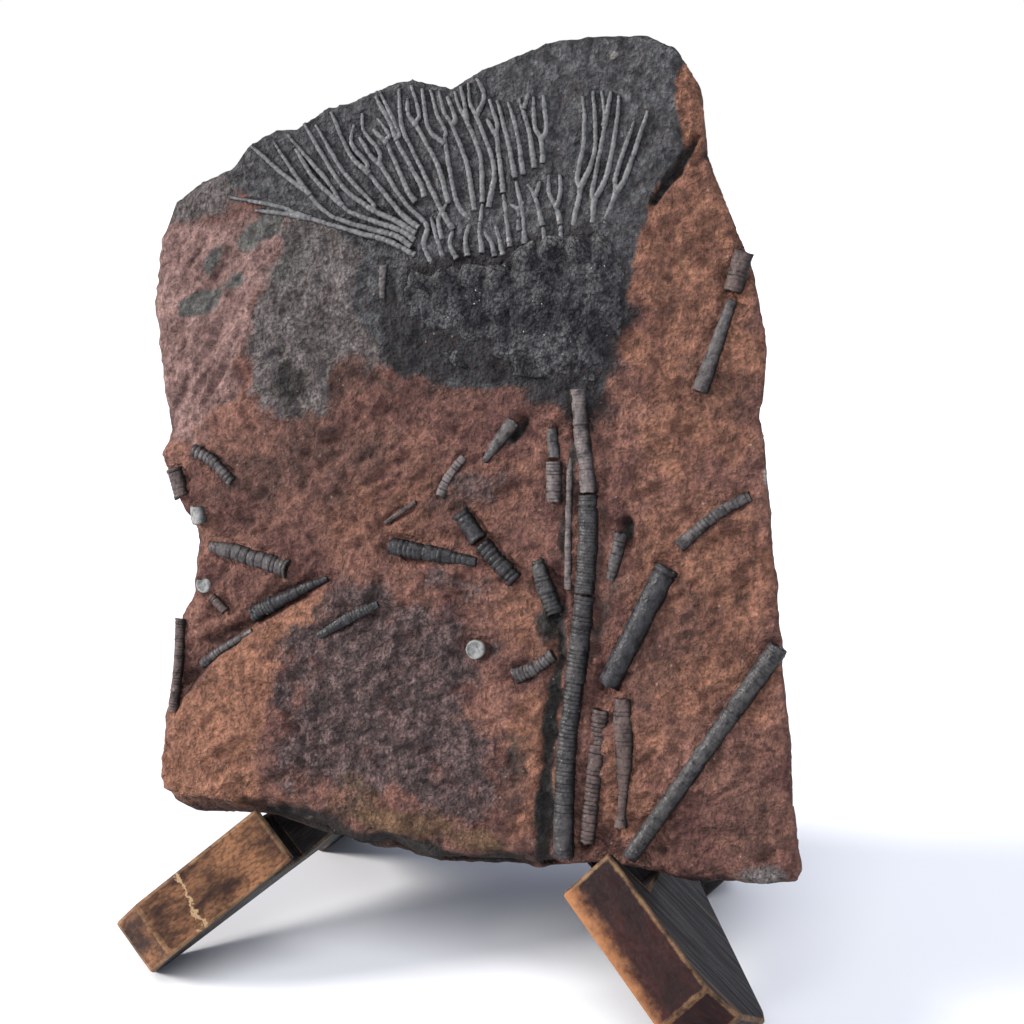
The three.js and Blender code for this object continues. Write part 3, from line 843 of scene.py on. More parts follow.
@dataclass(frozen=True)
class CupFinish:
    """Near-black, coarse and gritty, with tiny cream specks, painted shade between grains and a painted
    highlight on the top lobes.
    """

    name: str = "gritty_cup"

    def build(self, shared: SharedGroups) -> bpy.types.Material:
        """Builds the material.

        Args:
            shared: The shared node groups.

        Returns:
            The material.
        """
        material, bench, shader, place = finish_material(self.name, 0.75, 0.18)
        ground = bench.group(shared.mottle, {
            "Place": place, "Scale": 90.0, "Dark": (0.012, 0.012, 0.015),
            "Light": (0.078, 0.077, 0.079), "Balance": -0.02})
        grit = bench.group(shared.grit, {"Place": place, "Scale": 780.0})
        sand = bench.group(shared.grit, {"Place": place, "Scale": 1300.0})
        # Paler where the crest mask is high, on the top lobes' rims and grit tops: wear with a painted
        # highlight.
        crest = bench.group(shared.worn_edge, {"Place": place, "Edge": bench.mask("crest"),
                                               "Scale": 500.0, "Amount": 0.8})
        colour = bench.blend(crest.outputs["Wear"], ground.outputs["Colour"],
                             (0.150, 0.145, 0.138))
        # Near-black in the gaps between grains, which the bump sets low: painted shade.
        colour = bench.blend(bench.maths("MULTIPLY", grit.outputs["Gap"], 0.75), colour,
                             (0.006, 0.006, 0.008))
        colour = bench.blend(bench.maths("MULTIPLY", sand.outputs["Fleck"], 0.8), colour,
                             (0.42, 0.39, 0.32))
        bench.tree.links.new(colour, shader.inputs["Base Color"])
        gloss = bench.span(bench.noise(place, 700.0), 0.3, 0.7, 0.5, 0.9)
        bench.tree.links.new(gloss, shader.inputs["Roughness"])
        height = bench.maths("ADD", grit.outputs["Height"],
                             bench.maths("MULTIPLY", sand.outputs["Height"], 0.25))
        join_bump(bench, shader, height, 0.0013)
        return material


@dataclass(frozen=True)
class DiscFinish:
    """Pale grey columnal with a faint radial grain."""

    name: str = "pale_columnal"

    def build(self, shared: SharedGroups) -> bpy.types.Material:
        """Builds the material.

        Args:
            shared: The shared node groups.

        Returns:
            The material.
        """
        material, bench, shader, place = finish_material(self.name, 0.75, 0.25)
        ground = bench.group(shared.mottle, {
            "Place": place, "Scale": 700.0, "Dark": (0.080, 0.082, 0.080),
            "Light": (0.205, 0.206, 0.200), "Balance": 0.02})
        worn = bench.group(shared.worn_edge, {"Place": place, "Edge": bench.mask("crest"),
                                              "Scale": 900.0, "Amount": 0.6})
        colour = bench.blend(worn.outputs["Wear"], ground.outputs["Colour"],
                             (0.30, 0.30, 0.28))
        bench.tree.links.new(colour, shader.inputs["Base Color"])
        join_bump(bench, shader, bench.noise(place, 900.0, 2.0, 0.5), 0.0003)
        return material


@dataclass(frozen=True)
class WoodFinish:
    """Dark stained wood: brown sawn front edges, near-black faces, pale worn edges."""

    name: str
    turn: float
    front_dark: Colour
    front_light: Colour
    wear: float
    crack_at: float | None = None
    tan_front_limit: float | None = None

    def build(self, shared: SharedGroups) -> bpy.types.Material:
        """Builds the material.

        Args:
            shared: The shared node groups.

        Returns:
            The material.
        """
        material, bench, shader, place = finish_material(self.name, 0.6, 0.15)
        turned = bench.add("Mapping", {"Vector": place, "Rotation": (0.0, self.turn, 0.0)})
        along = bench.add("Mapping", {"Vector": turned.outputs[0], "Scale": (0.07, 1.0, 1.0)})
        grain_place = along.outputs[0]
        wavy = bench.add("Mapping", {"Vector": turned.outputs[0], "Scale": (0.35, 1.0, 1.0)})
        fibres = bench.noise(grain_place, 900.0, 5.0, 0.6)
        bands = bench.noise(grain_place, 130.0, 4.0, 0.55)
        face = bench.blend(bench.span(fibres, 0.35, 0.7), (0.010, 0.009, 0.010),
                           (0.030, 0.025, 0.024))
        face = bench.blend(bench.span(bands, 0.60, 0.68), face, (0.070, 0.038, 0.022))
        pores = bench.group(shared.grit, {"Place": wavy.outputs[0], "Scale": 1100.0})
        front = bench.group(shared.mottle, {"Place": wavy.outputs[0], "Scale": 100.0,
                                            "Dark": self.front_dark, "Light": self.front_light,
                                            "Balance": 0.0})
        sawn = bench.blend(bench.maths("MULTIPLY", pores.outputs["Gap"], 0.55),
                           front.outputs["Colour"], self.front_dark)
        colour = bench.blend(bench.mask("front"), face, sawn)
        worn = bench.group(shared.worn_edge, {"Place": place, "Edge": bench.mask("edge"),
                                              "Scale": 160.0, "Amount": self.wear})
        colour = bench.blend(worn.outputs["Wear"], colour, (0.46, 0.27, 0.13))
        # Tan over the front faces where the turned third coordinate is below about this field's value, with
        # a wavy edge.
        if self.tan_front_limit is not None:
            across = bench.add("SeparateXYZ", {0: turned.outputs[0]}).outputs[2]
            reach = bench.maths("ADD", across, bench.maths(
                "MULTIPLY", bench.noise(place, 300.0, 4.0, 0.65), 0.009))
            tan_front = bench.maths("MULTIPLY", bench.mask("front"), bench.span(
                reach, self.tan_front_limit + 0.0125, self.tan_front_limit + 0.0045))
            colour = bench.blend(tan_front, colour, (0.27, 0.115, 0.048))
        if self.crack_at is not None:
            split = bench.add("SeparateXYZ", {0: turned.outputs[0]}).outputs[0]
            wander = bench.maths("MULTIPLY", bench.noise(place, 90.0, 5.0, 0.7), 0.014)
            gap = bench.maths("ABSOLUTE", bench.maths("SUBTRACT", bench.maths(
                "ADD", split, wander), self.crack_at))
            line = bench.maths("MULTIPLY", bench.span(gap, 0.0008, 0.0002),
                               bench.mask("front"))
            colour = bench.blend(line, colour, (0.34, 0.22, 0.12))
        bench.tree.links.new(colour, shader.inputs["Base Color"])
        gloss = bench.span(bench.noise(grain_place, 500.0), 0.3, 0.7, 0.45, 0.75)
        bench.tree.links.new(gloss, shader.inputs["Roughness"])
        height = bench.maths("ADD", fibres, bench.maths("MULTIPLY", pores.outputs["Height"], 0.4))
        join_bump(bench, shader, height, 0.00018)
        return material


@dataclass(frozen=True)
class FloorFinish:
    """Plain pale floor."""

    name: str = "studio_floor"
    colour: Colour = (0.93, 0.935, 0.95)

    def build(self) -> bpy.types.Material:
        """Builds the material.

        Returns:
            The material.
        """
        material, _bench, shader, _place = finish_material(self.name, 0.9, 0.1)
        shader.inputs["Base Color"].default_value = (*self.colour, 1.0)
        return material


# ------------------------------------------------------------------ stems
@dataclass(frozen=True)
class StemPiece:
    """One length of stem: its route on the face, its radii and its ribs."""

    name: str
    route: Points
    radii: tuple[tuple[float, float], ...]
    look: StemLook
    pitch: float = 1.0
    rib: float = 0.06
    lumps: float = 0.05
    breaks: tuple[float, ...] = ()
    ruined: tuple[float, float] = (0.0, 0.0)
    flat: float = 0.92
    lift: float = 0.02
    node: bool = True


STEMS: tuple[StemPiece, ...] = (
    StemPiece("main_stem_1", ((40, 139.5), (41, 128), (43.5, 116), (44.6, 108)),
              ((0, 2.9), (0.2, 2.4), (1, 2.7)), StemLook.MAUVE, 1.0, 0.035, 0.10, (0.36, 0.78)),
    StemPiece("main_stem_2", ((44.6, 107.5), (45.3, 92), (45, 77)), ((0, 3.1), (1, 3.2)),
              StemLook.CHARCOAL, 0.95, 0.05, 0.06, (0.12,)),
    StemPiece("main_stem_3", ((45, 76.5), (43.2, 50), (42, 30), (42, 10), (42.6, -5)),
              ((0, 3.2), (0.2, 3.3), (0.33, 3.3), (0.345, 2.9), (0.5, 3.05), (1, 3.3)),
              StemLook.CHARCOAL, 1.3, 0.085, 0.05, (0.215, 0.335)),
    StemPiece("side_stem", ((38, 121), (39.7, 78)), ((0, 1.0), (1, 1.3)), StemLook.MAUVE,
              1.0, 0.03, 0.12, (0.3,)),
    StemPiece("lower_stem", ((52, 42), (49.6, 0)), ((0, 2.7), (0.1, 2.5), (1, 2.5)), StemLook.UMBER,
              1.35, 0.08, 0.08, (0.69,), (1.5, 0.5), 0.6),
    StemPiece("tapered_stem", ((58.5, 46), (60, 24), (59.8, 6)),
              ((0, 2.5), (0.2, 3.2), (0.5, 2.7), (0.68, 1.6), (0.9, 1.3), (0.95, 2.0), (1, 2.2)),
              StemLook.UMBER, 1.3, 0.05, 0.08, (), (1.0, 0.5), 0.6),
    StemPiece("thick_diagonal_stem", ((70, 87), (53.6, 49.5)), ((0, 3.8), (1, 3.4)),
              StemLook.BLACK, 1.0, 0.012, 0.05, (0.05,), (0.8, 2.5), 1.0),
    StemPiece("long_right_stem", ((104.5, 66), (63, -3)), ((0, 3.2), (0.3, 2.9), (1, 2.5)),
              StemLook.CHARCOAL, 1.15, 0.03, 0.04, (0.297,), (4.5, 0.5), 0.95),
    StemPiece("slate_stem", ((93.5, 110), (84, 104), (73, 93.5)), ((0, 1.6), (1, 2.1)),
              StemLook.SLATE, 1.4, 0.05, 0.14, (0.25,), (0.5, 0.8)),
    StemPiece("right_tapered_stem", ((84.5, 168), (76.5, 140)), ((0, 1.6), (0.9, 2.6), (1, 2.3)),
              StemLook.SLATE, 1.0, 0.015, 0.04, (), (0.5, 0.5), 0.8),
    StemPiece("right_edge_stem", ((87, 182), (84.5, 170)), ((0, 3.0), (1, 3.0)),
              StemLook.UMBER, 1.2, 0.06, 0.10, (), (1.0, 1.0), 0.8),
    StemPiece("upper_short_stem", ((20, 129), (10.5, 115.5)), ((0, 2.6), (0.7, 1.8), (1, 0.9)),
              StemLook.SLATE, 1.0, 0.02, 0.04, (), (0.6, 0.4), 0.9),
    StemPiece("black_ribbed_stem", ((-19, 87.5), (10, 84.3)),
              ((0, 2.7), (0.15, 2.9), (0.6, 2.4), (1, 1.5)), StemLook.BLACK, 1.6, 0.12, 0.08, (0.17,),
              (1.5, 1.0)),
    StemPiece("thick_ribbed_stem", ((3.5, 99.5), (10.5, 91)), ((0, 2.8), (1, 2.9)),
              StemLook.BLACK, 1.7, 0.16, 0.08, (), (1.8, 0.6)),
    StemPiece("thick_ribbed_stem_end", ((11.3, 90.2), (23, 79.5)), ((0, 2.9), (1, 2.8)),
              StemLook.BLACK, 1.7, 0.17, 0.08, (0.8,), (0.6, 1.0)),
    StemPiece("ribbed_rough_stem", ((29.5, 86.5), (32, 79), (36, 70)),
              ((0, 2.0), (0.3, 2.7), (0.6, 3.0), (1, 3.1)), StemLook.CHARCOAL, 1.35, 0.09, 0.09, (0.62,),
              (0.6, 7.5)),
    StemPiece("narrow_centre_stem", ((32, 127), (33.3, 118)), ((0, 1.8), (1, 2.1)), StemLook.SLATE,
              1.0, 0.03, 0.08, (), (0.8, 0.4)),
    StemPiece("broken_centre_stem", ((33.2, 117.2), (34, 104.5)), ((0, 2.6), (1, 2.6)), StemLook.MAUVE,
              1.05, 0.05, 0.06, (0.75,), (0.4, 2.0)),
    StemPiece("hollow_edge_stem", ((55.5, 96.5), (52.8, 82)), ((0, 2.4), (1, 1.6)), StemLook.SLATE,
              1.3, 0.06, 0.12, (), (1.0, 2.0)),
    StemPiece("small_ribbed_stem", ((24, 49.5), (30, 52.5), (36, 57.5)), ((0, 2.5), (1, 2.0)),
              StemLook.SLATE, 1.25, 0.13, 0.08, (0.55,), (1.2, 0.6)),
    StemPiece("left_edge_stem", ((-97, 108), (-93, 98.5)), ((0, 2.8), (1, 2.6)), StemLook.UMBER,
              1.4, 0.14, 0.06, (), (0.4, 0.4)),
    StemPiece("arched_ribbed_stem", ((-90, 114.5), (-82, 111), (-74, 104.5)),
              ((0, 2.2), (0.5, 2.2), (0.62, 1.8), (1, 1.9)), StemLook.SLATE, 1.7, 0.16, 0.12,
              (0.3, 0.62), (1.0, 1.0)),
    StemPiece("pale_stump", ((-86.8, 96), (-86, 90)), ((0, 2.4), (1, 2.6)), StemLook.PALE,
              1.4, 0.05, 0.22, (), (1.5, 1.0)),
    StemPiece("left_ribbed_stem", ((-82, 83), (-70, 81), (-54, 77.5)),
              ((0, 1.7), (0.25, 2.7), (0.8, 3.0), (0.93, 2.8), (1, 3.2)), StemLook.SLATE, 1.45, 0.09,
              0.04, (), (0.6, 1.2)),
    StemPiece("small_left_stem", ((-81, 66.5), (-75.5, 62)), ((0, 1.6), (1, 1.6)), StemLook.UMBER,
              0.9, 0.13, 0.08),
    StemPiece("forked_left_stem", ((-40, 75.5), (-50, 70.5), (-66, 61.5)),
              ((0, 1.0), (0.45, 2.0), (0.65, 2.2), (0.72, 2.8), (1, 2.8)), StemLook.BLACK, 1.25,
              0.09, 0.08, (0.55, 0.7), (0.5, 8.0)),
    StemPiece("slender_lower_stem", ((-65, 56.5), (-75, 50), (-83, 43.5)), ((0, 1.0), (1, 1.8)),
              StemLook.SLATE, 1.1, 0.11, 0.06, (0.82,), (0.5, 2.0)),
    StemPiece("left_margin_stem", ((-92.5, 58), (-92.3, 42), (-92.5, 27)), ((0, 1.8), (1, 1.8)),
              StemLook.UMBER, 0.95, 0.10, 0.05, (), (0.4, 0.4)),
    StemPiece("slender_trace", ((-11, 102), (-21, 94.5)), ((0, 0.7), (0.5, 1.0), (1, 0.8)),
              StemLook.UMBER, 1.0, 0.04, 0.1, (), (0.3, 0.3), 0.8, 0.1, False),
    StemPiece("faint_upper_trace", ((4, 117), (-1, 110), (-3.5, 104)), ((0, 1.4), (1, 1.7)),
              StemLook.MAUVE, 1.3, 0.08, 0.14, (0.4,), (1.0, 1.0), 0.7, -0.2, False),
    StemPiece("small_bar_trace", ((-25, 176), (-25.2, 170), (-25, 165)), ((0, 1.5), (1, 1.1)),
              StemLook.SLATE, 1.2, 0.03, 0.08, (), (1.0, 1.0), 0.6, 0.0, False),
    StemPiece("ribbed_impression", ((-41, 57), (-31, 63.5), (-21, 69)),
              ((0, 1.2), (0.5, 1.9), (1, 1.2)), StemLook.BLACK, 1.0, 0.14, 0.1, (), (0.3, 0.3),
              0.4, -0.3, False),
)


class Route:
    """A smooth line on the face, walked by distance."""

    def __init__(self, corners: Points) -> None:
        """Smooths the corners with an even spline.

        Args:
            corners: Points (u, w) that the line goes through.
        """
        given = np.asarray(corners, float)
        padded = np.vstack((2 * given[0] - given[1], given, 2 * given[-1] - given[-2]))
        steps = np.linspace(0, 1, 16, endpoint=False)[:, None]
        parts = []
        for a, b, c, d in zip(padded, padded[1:], padded[2:], padded[3:]):
            parts.append(0.5 * (2 * b + (c - a) * steps + (2 * a - 5 * b + 4 * c - d) * steps ** 2
                                + (3 * b - a - 3 * c + d) * steps ** 3))
        self.points = np.vstack((*parts, given[-1]))
        gaps = np.hypot(*np.diff(self.points, axis=0).T)
        self.walked = np.concatenate(([0.0], np.cumsum(gaps)))
        self.length = float(self.walked[-1])

    def at(self, distance: np.ndarray) -> np.ndarray:
        """Gives the places (u, w) at some distances from the start."""
        return np.column_stack([np.interp(distance, self.walked, column)
                                for column in self.points.T])

    def heading(self, distance: np.ndarray) -> np.ndarray:
        """Gives the unit directions at some distances from the start."""
        run = self.at(distance + 0.4) - self.at(distance - 0.4)
        return run / np.maximum(np.hypot(*run.T), 1e-9)[:, None]


def unit_bar(sides: int, rings: int) -> bmesh.types.BMesh:
    """Makes a closed round bar along Z from 0 to 1, of radius 1, with many rings.

    Args:
        sides: How many sides it has.
        rings: How many lengths it is cut into.

    Returns:
        The bar's shape.
    """
    bm = bmesh.new()
    bmesh.ops.create_cone(bm, cap_ends=True, cap_tris=False, segments=sides,
                          radius1=1.0, radius2=1.0, depth=1.0)
    caps = [face for face in bm.faces if len(face.verts) == sides]
    bmesh.ops.inset_region(bm, faces=caps, thickness=0.3, depth=0.0)
    caps = [face for face in bm.faces if len(face.verts) == sides]
    bmesh.ops.poke(bm, faces=caps)
    long_edges = [edge for edge in bm.edges
                  if abs(edge.verts[0].co.z - edge.verts[1].co.z) > 0.5]
    if rings > 1:
        bmesh.ops.subdivide_edges(bm, edges=long_edges, cuts=rings - 1, use_grid_fill=True)
    bmesh.ops.translate(bm, verts=bm.verts, vec=(0.0, 0.0, 0.5))
    return bm


# ------------------------------------------------------------------ rock face
@dataclass(frozen=True)
class Patch:
    """A soft-edged area of the face that feeds one mask."""

    mask: str
    outline: Points
    edge: float = 8.0
    ragged: float = 4.0
    strength: float = 1.0

    def share(self, places: np.ndarray, seed: int) -> np.ndarray:
        """Gives how strongly the area covers each place.

        Args:
            places: Places (u, w).
            seed: Whole number that picks the raggedness of its edge.

        Returns:
            Numbers from 0 to its strength.
        """
        depth = outline_depth(places, self.outline) + self.ragged * rough(places, 9.0, seed)
        return self.strength * ease(-self.edge / 2, self.edge / 2, depth)


@dataclass(frozen=True)
class Channel:
    """A furrow in the face, or a rise where its depth is negative."""

    path: Points
    width: float
    depth: float
    core: float = 0.2

    def cut(self, places: np.ndarray) -> np.ndarray:
        """Gives how deep the furrow is.

        Args:
            places: Places (u, w).

        Returns:
            One depth in millimetres for each place.
        """
        wander = 1.0 + 0.35 * rough(places, 4.0, 77)
        reach = path_distance(places, self.path) * wander
        return self.depth * ease(self.width, self.width * self.core, reach)


PATCHES: tuple[Patch, ...] = (
    Patch("warm", oval((82, 75), (26, 40), 15), 26, 10, 0.75),
    Patch("warm", oval((88, 205), (26, 30), -20), 12, 5, 0.85),
    Patch("warm", ((48, 200), (80, 205), (100, 150), (90, 118), (60, 112), (54, 140)), 20, 8, 0.8),
    Patch("warm", oval((-10, 100), (36, 14), 15), 22, 8, 0.55),
    Patch("warm", oval((62, 24), (10, 22)), 12, 4, 0.7),
    Patch("warm", oval((30, 22), (9, 24)), 10, 5, 0.8),
    Patch("warm", oval((27, 68), (12, 12)), 10, 5, 0.6),
    Patch("umber", oval((-52, 112), (34, 14), 12), 26, 8, 0.75),
    Patch("umber", oval((95, 20), (18, 30), 15), 22, 10, 0.5),
    Patch("umber", oval((72, 62), (9, 22), -25), 12, 6, 0.6),
    Patch("umber", oval((8, 138), (26, 5), 4), 8, 4, 0.5),
    Patch("umber", oval((2, 104), (9, 6), 20), 8, 4, 0.8),
    Patch("smoky", ((-110, 215), (-108, 190), (-92, 188), (-75, 196), (-70, 215)), 8, 3, 0.85),
    Patch("smoky", ((-62, 196), (-17, 184), (-13, 165), (-18, 147), (-39, 146), (-49, 140),
                    (-40, 131), (-66, 129), (-72, 148), (-66, 170)), 12, 4),
    Patch("crown", ((-82, 216), (-78, 200), (-66, 192), (-45, 189), (-33, 181), (-33, 160),
                    (-24, 146), (-4, 139), (31, 139), (38, 134), (45, 134), (49, 146), (53, 167), (55, 185),
                    (60, 198), (68, 208), (73, 224), (80, 260), (-90, 260)), 3.0, 1.6),
    Patch("soot", ((-15, 179), (-24, 160), (-24, 146), (-4, 140), (30, 137), (38, 127),
                   (45, 127), (49, 144), (54, 160), (54, 176), (40, 187), (8, 181)), 11, 4),
    Patch("mauve", ((-112, 187), (-92, 190), (-76, 191), (-62, 187), (-66, 168), (-72, 150),
                    (-74, 132), (-86, 121), (-112, 118)), 9, 4),
    Patch("green", oval((-68, 186), (9, 4), 35), 5, 2, 0.9),
    Patch("green", oval((-84, 177), (6, 3), 60), 4, 2, 0.9),
    Patch("green", oval((-88, 163), (9, 3.2), 25), 4, 2, 0.9),
    Patch("green", oval((-78, 169), (6, 2.4), 30), 4, 2, 0.8),
    Patch("green", oval((-58, 176), (10, 6), 50), 10, 3, 0.6),
    Patch("orange", ((-100, -8), (-97, 17), (-91, 31), (-80, 44), (-62, 60), (-40, 75),
                     (-34, 71), (-46, 56), (-57, 40), (-63, 18), (-60, -8)), 12, 4),
    Patch("orange", oval((69.5, 223), (4.0, 15), 8), 3, 1.2),
    Patch("orange", oval((-86, 88), (8, 10)), 12, 4, 0.3),
    Patch("purple", ((-48, 62), (-22, 73), (8, 69), (19, 58), (8, 42), (22, 22), (14, 3),
                     (-16, 5), (-46, 5), (-56, 18), (-50, 38)), 18, 8, 0.82),
    Patch("purple", oval((8, 76), (16, 4), -12), 8, 4, 0.7),
    Patch("purple", oval((10, 107), (13, 6), 20), 10, 4, 0.65),
    Patch("umber", oval((25, 20), (5, 13)), 6, 3, 0.85),
    Patch("umber", oval((80, 142), (12, 8), -20), 8, 4, 0.5),
    Patch("black", oval((26, 23), (4, 9)), 5, 2, 0.45),
    Patch("ochre", oval((-4, -1), (27, 6), -4), 9, 4, 0.9),
    Patch("ochre", oval((-24, 6), (9, 5)), 8, 3, 0.6),
    Patch("black", ((-62, -2), (-40, 0), (-26, -5), (-12, -4), (0, -8), (20, -7), (30, -6),
                    (33, -14), (0, -18), (-62, -14)), 3.5, 1.8),
    # The black patches from here on fill the grooves and hollows beside the stems, the slit right of the
    # crown and the hollow left of the cup: painted shade.
    Patch("black", ((33, 82), (38, 74), (41, 60), (38, 40), (38, -12), (33, -12), (33, 10),
                    (34, 40), (36, 60)), 3.0, 1.2, 0.95),
    Patch("black", oval((38.5, 112), (1.6, 26), -3), 3.5, 1.2, 0.75),
    Patch("black", oval((49.3, 96), (1.3, 30), -1), 3.5, 1.2, 0.55),
    Patch("black", oval((51, 70), (3.5, 14), -16), 5, 2, 0.55),
    Patch("black", oval((35, 68), (4.5, 8), -30), 5, 2, 0.8),
    Patch("black", oval((57.6, 97), (1.9, 3.4), -20), 1.5, 0.6),
    Patch("black", oval((21.6, 126), (1.6, 6), -35), 1.5, 0.6),
    Patch("black", oval((75, 211), (3.0, 2.0)), 3, 1.5, 0.8),
    Patch("black", ((70, 215.5), (72, 214.5), (65.5, 203), (59, 195), (58.5, 196)), 1.6, 0.9),
    Patch("black", oval((58, 60), (2.4, 5), -20), 3, 1, 0.8),
    Patch("black", oval((-55, 139), (7, 7)), 6, 3, 0.7),
    Patch("umber", ((-56, 149), (-24, 151), (-20, 137), (-38, 131), (-52, 133)), 6, 3, 1.0),
    Patch("pale", oval((101.5, 115), (3.4, 13), 8), 2.5, 1.2),
    Patch("pale", oval((45, 239.5), (1.4, 0.7), 20), 0.8, 0.3),
    Patch("pale", oval((-44, -3.5), (2.2, 0.9), 20), 1.0, 0.5, 0.8),
    Patch("smoky", oval((104, -3), (9, 4), 10), 5, 2, 0.8),
)
MASKS: tuple[str, ...] = ("warm", "umber", "smoky", "crown", "soot", "mauve", "green", "orange",
                          "purple", "ochre", "black", "pale")
BLOCK_OUTLINE: Points = (
    (-120, -30), (-98, 4), (-95.5, 19), (-90, 30), (-80, 43.5), (-62, 58.5), (-40, 73), (-28, 79),
    (-9, 80), (10, 74), (30, 62), (50, 46), (60, -30),
)
CHANNELS: tuple[Channel, ...] = (
    Channel(((-92, 34), (-82, 47), (-66, 60.5), (-44, 74)), 4.5, 1.5),
    Channel(((-67, 59), (-76, 55), (-88, 49)), 2.6, 1.6),
    Channel(((-83, 42), (-87, 39), (-92, 33)), 2.6, 1.7),
    Channel(((-33, 103), (-27, 107), (-20, 112), (-13, 118)), 1.6, 1.0),
    Channel(((-40, 94), (-31, 94.5), (-22, 92)), 1.8, 0.9),
    Channel(((-62, 107), (-48, 108), (-36, 113)), 2.4, 0.7),
    Channel(((-88, 88), (-72, 92), (-56, 88)), 3.5, 0.8),
    Channel(((-75, 152), (-80, 140), (-84, 133)), 1.4, 0.8),
    Channel(((-45, 144), (-46.5, 139), (-45, 134)), 1.8, -0.9),
    Channel(((-57, 145), (-56, 139), (-52, 133)), 7.0, 1.3),
    Channel(((71, 216), (66, 205.5), (60, 196.5)), 1.7, 2.4, 0.3),
    Channel(((75, 213), (72, 209)), 3.0, 2.0, 0.2),
    Channel(((57.2, 99), (57.4, 94)), 2.6, 2.6, 0.4),
    Channel(((23, 130), (20, 124)), 2.0, 1.8, 0.4),
    Channel(((36.5, 84), (36.8, 60), (36, 30), (36.5, -12)), 3.8, 1.9),
    Channel(((39.4, 134), (39.6, 122)), 2.0, 0.8),
    Channel(((49.8, 120), (50.2, 80), (49.6, 60)), 2.6, 0.8),
    Channel(((58.5, 62), (57, 54)), 3.5, 1.3),
    Channel(((-46, 192.2), (-28, 187.0), (-15, 180)), 1.8, 0.6),
    Channel(((55, 30), (55.5, 8)), 3.4, -0.9),
    Channel(((-62, 14), (-55, 17), (-49, 17)), 3.0, 0.8),
    Channel(((-80, 62), (-76, 58)), 3.0, 0.6),
    Channel(((-70, 126), (-52, 124), (-40, 119), (-30, 121)), 1.5, 0.7),
    Channel(((-58, 100), (-44, 99), (-36, 103), (-24, 100)), 1.6, 0.8),
    Channel(((62, 150), (70, 141), (72, 130), (80, 122)), 1.6, 0.6),
    Channel(((74, 60), (84, 50), (86, 38)), 1.8, 0.6),
    Channel(((-64, 40), (-52, 34), (-44, 22), (-46, 12)), 1.8, 0.8),
    Channel(((-6, 132), (6, 128), (14, 134)), 1.5, 0.6),
)


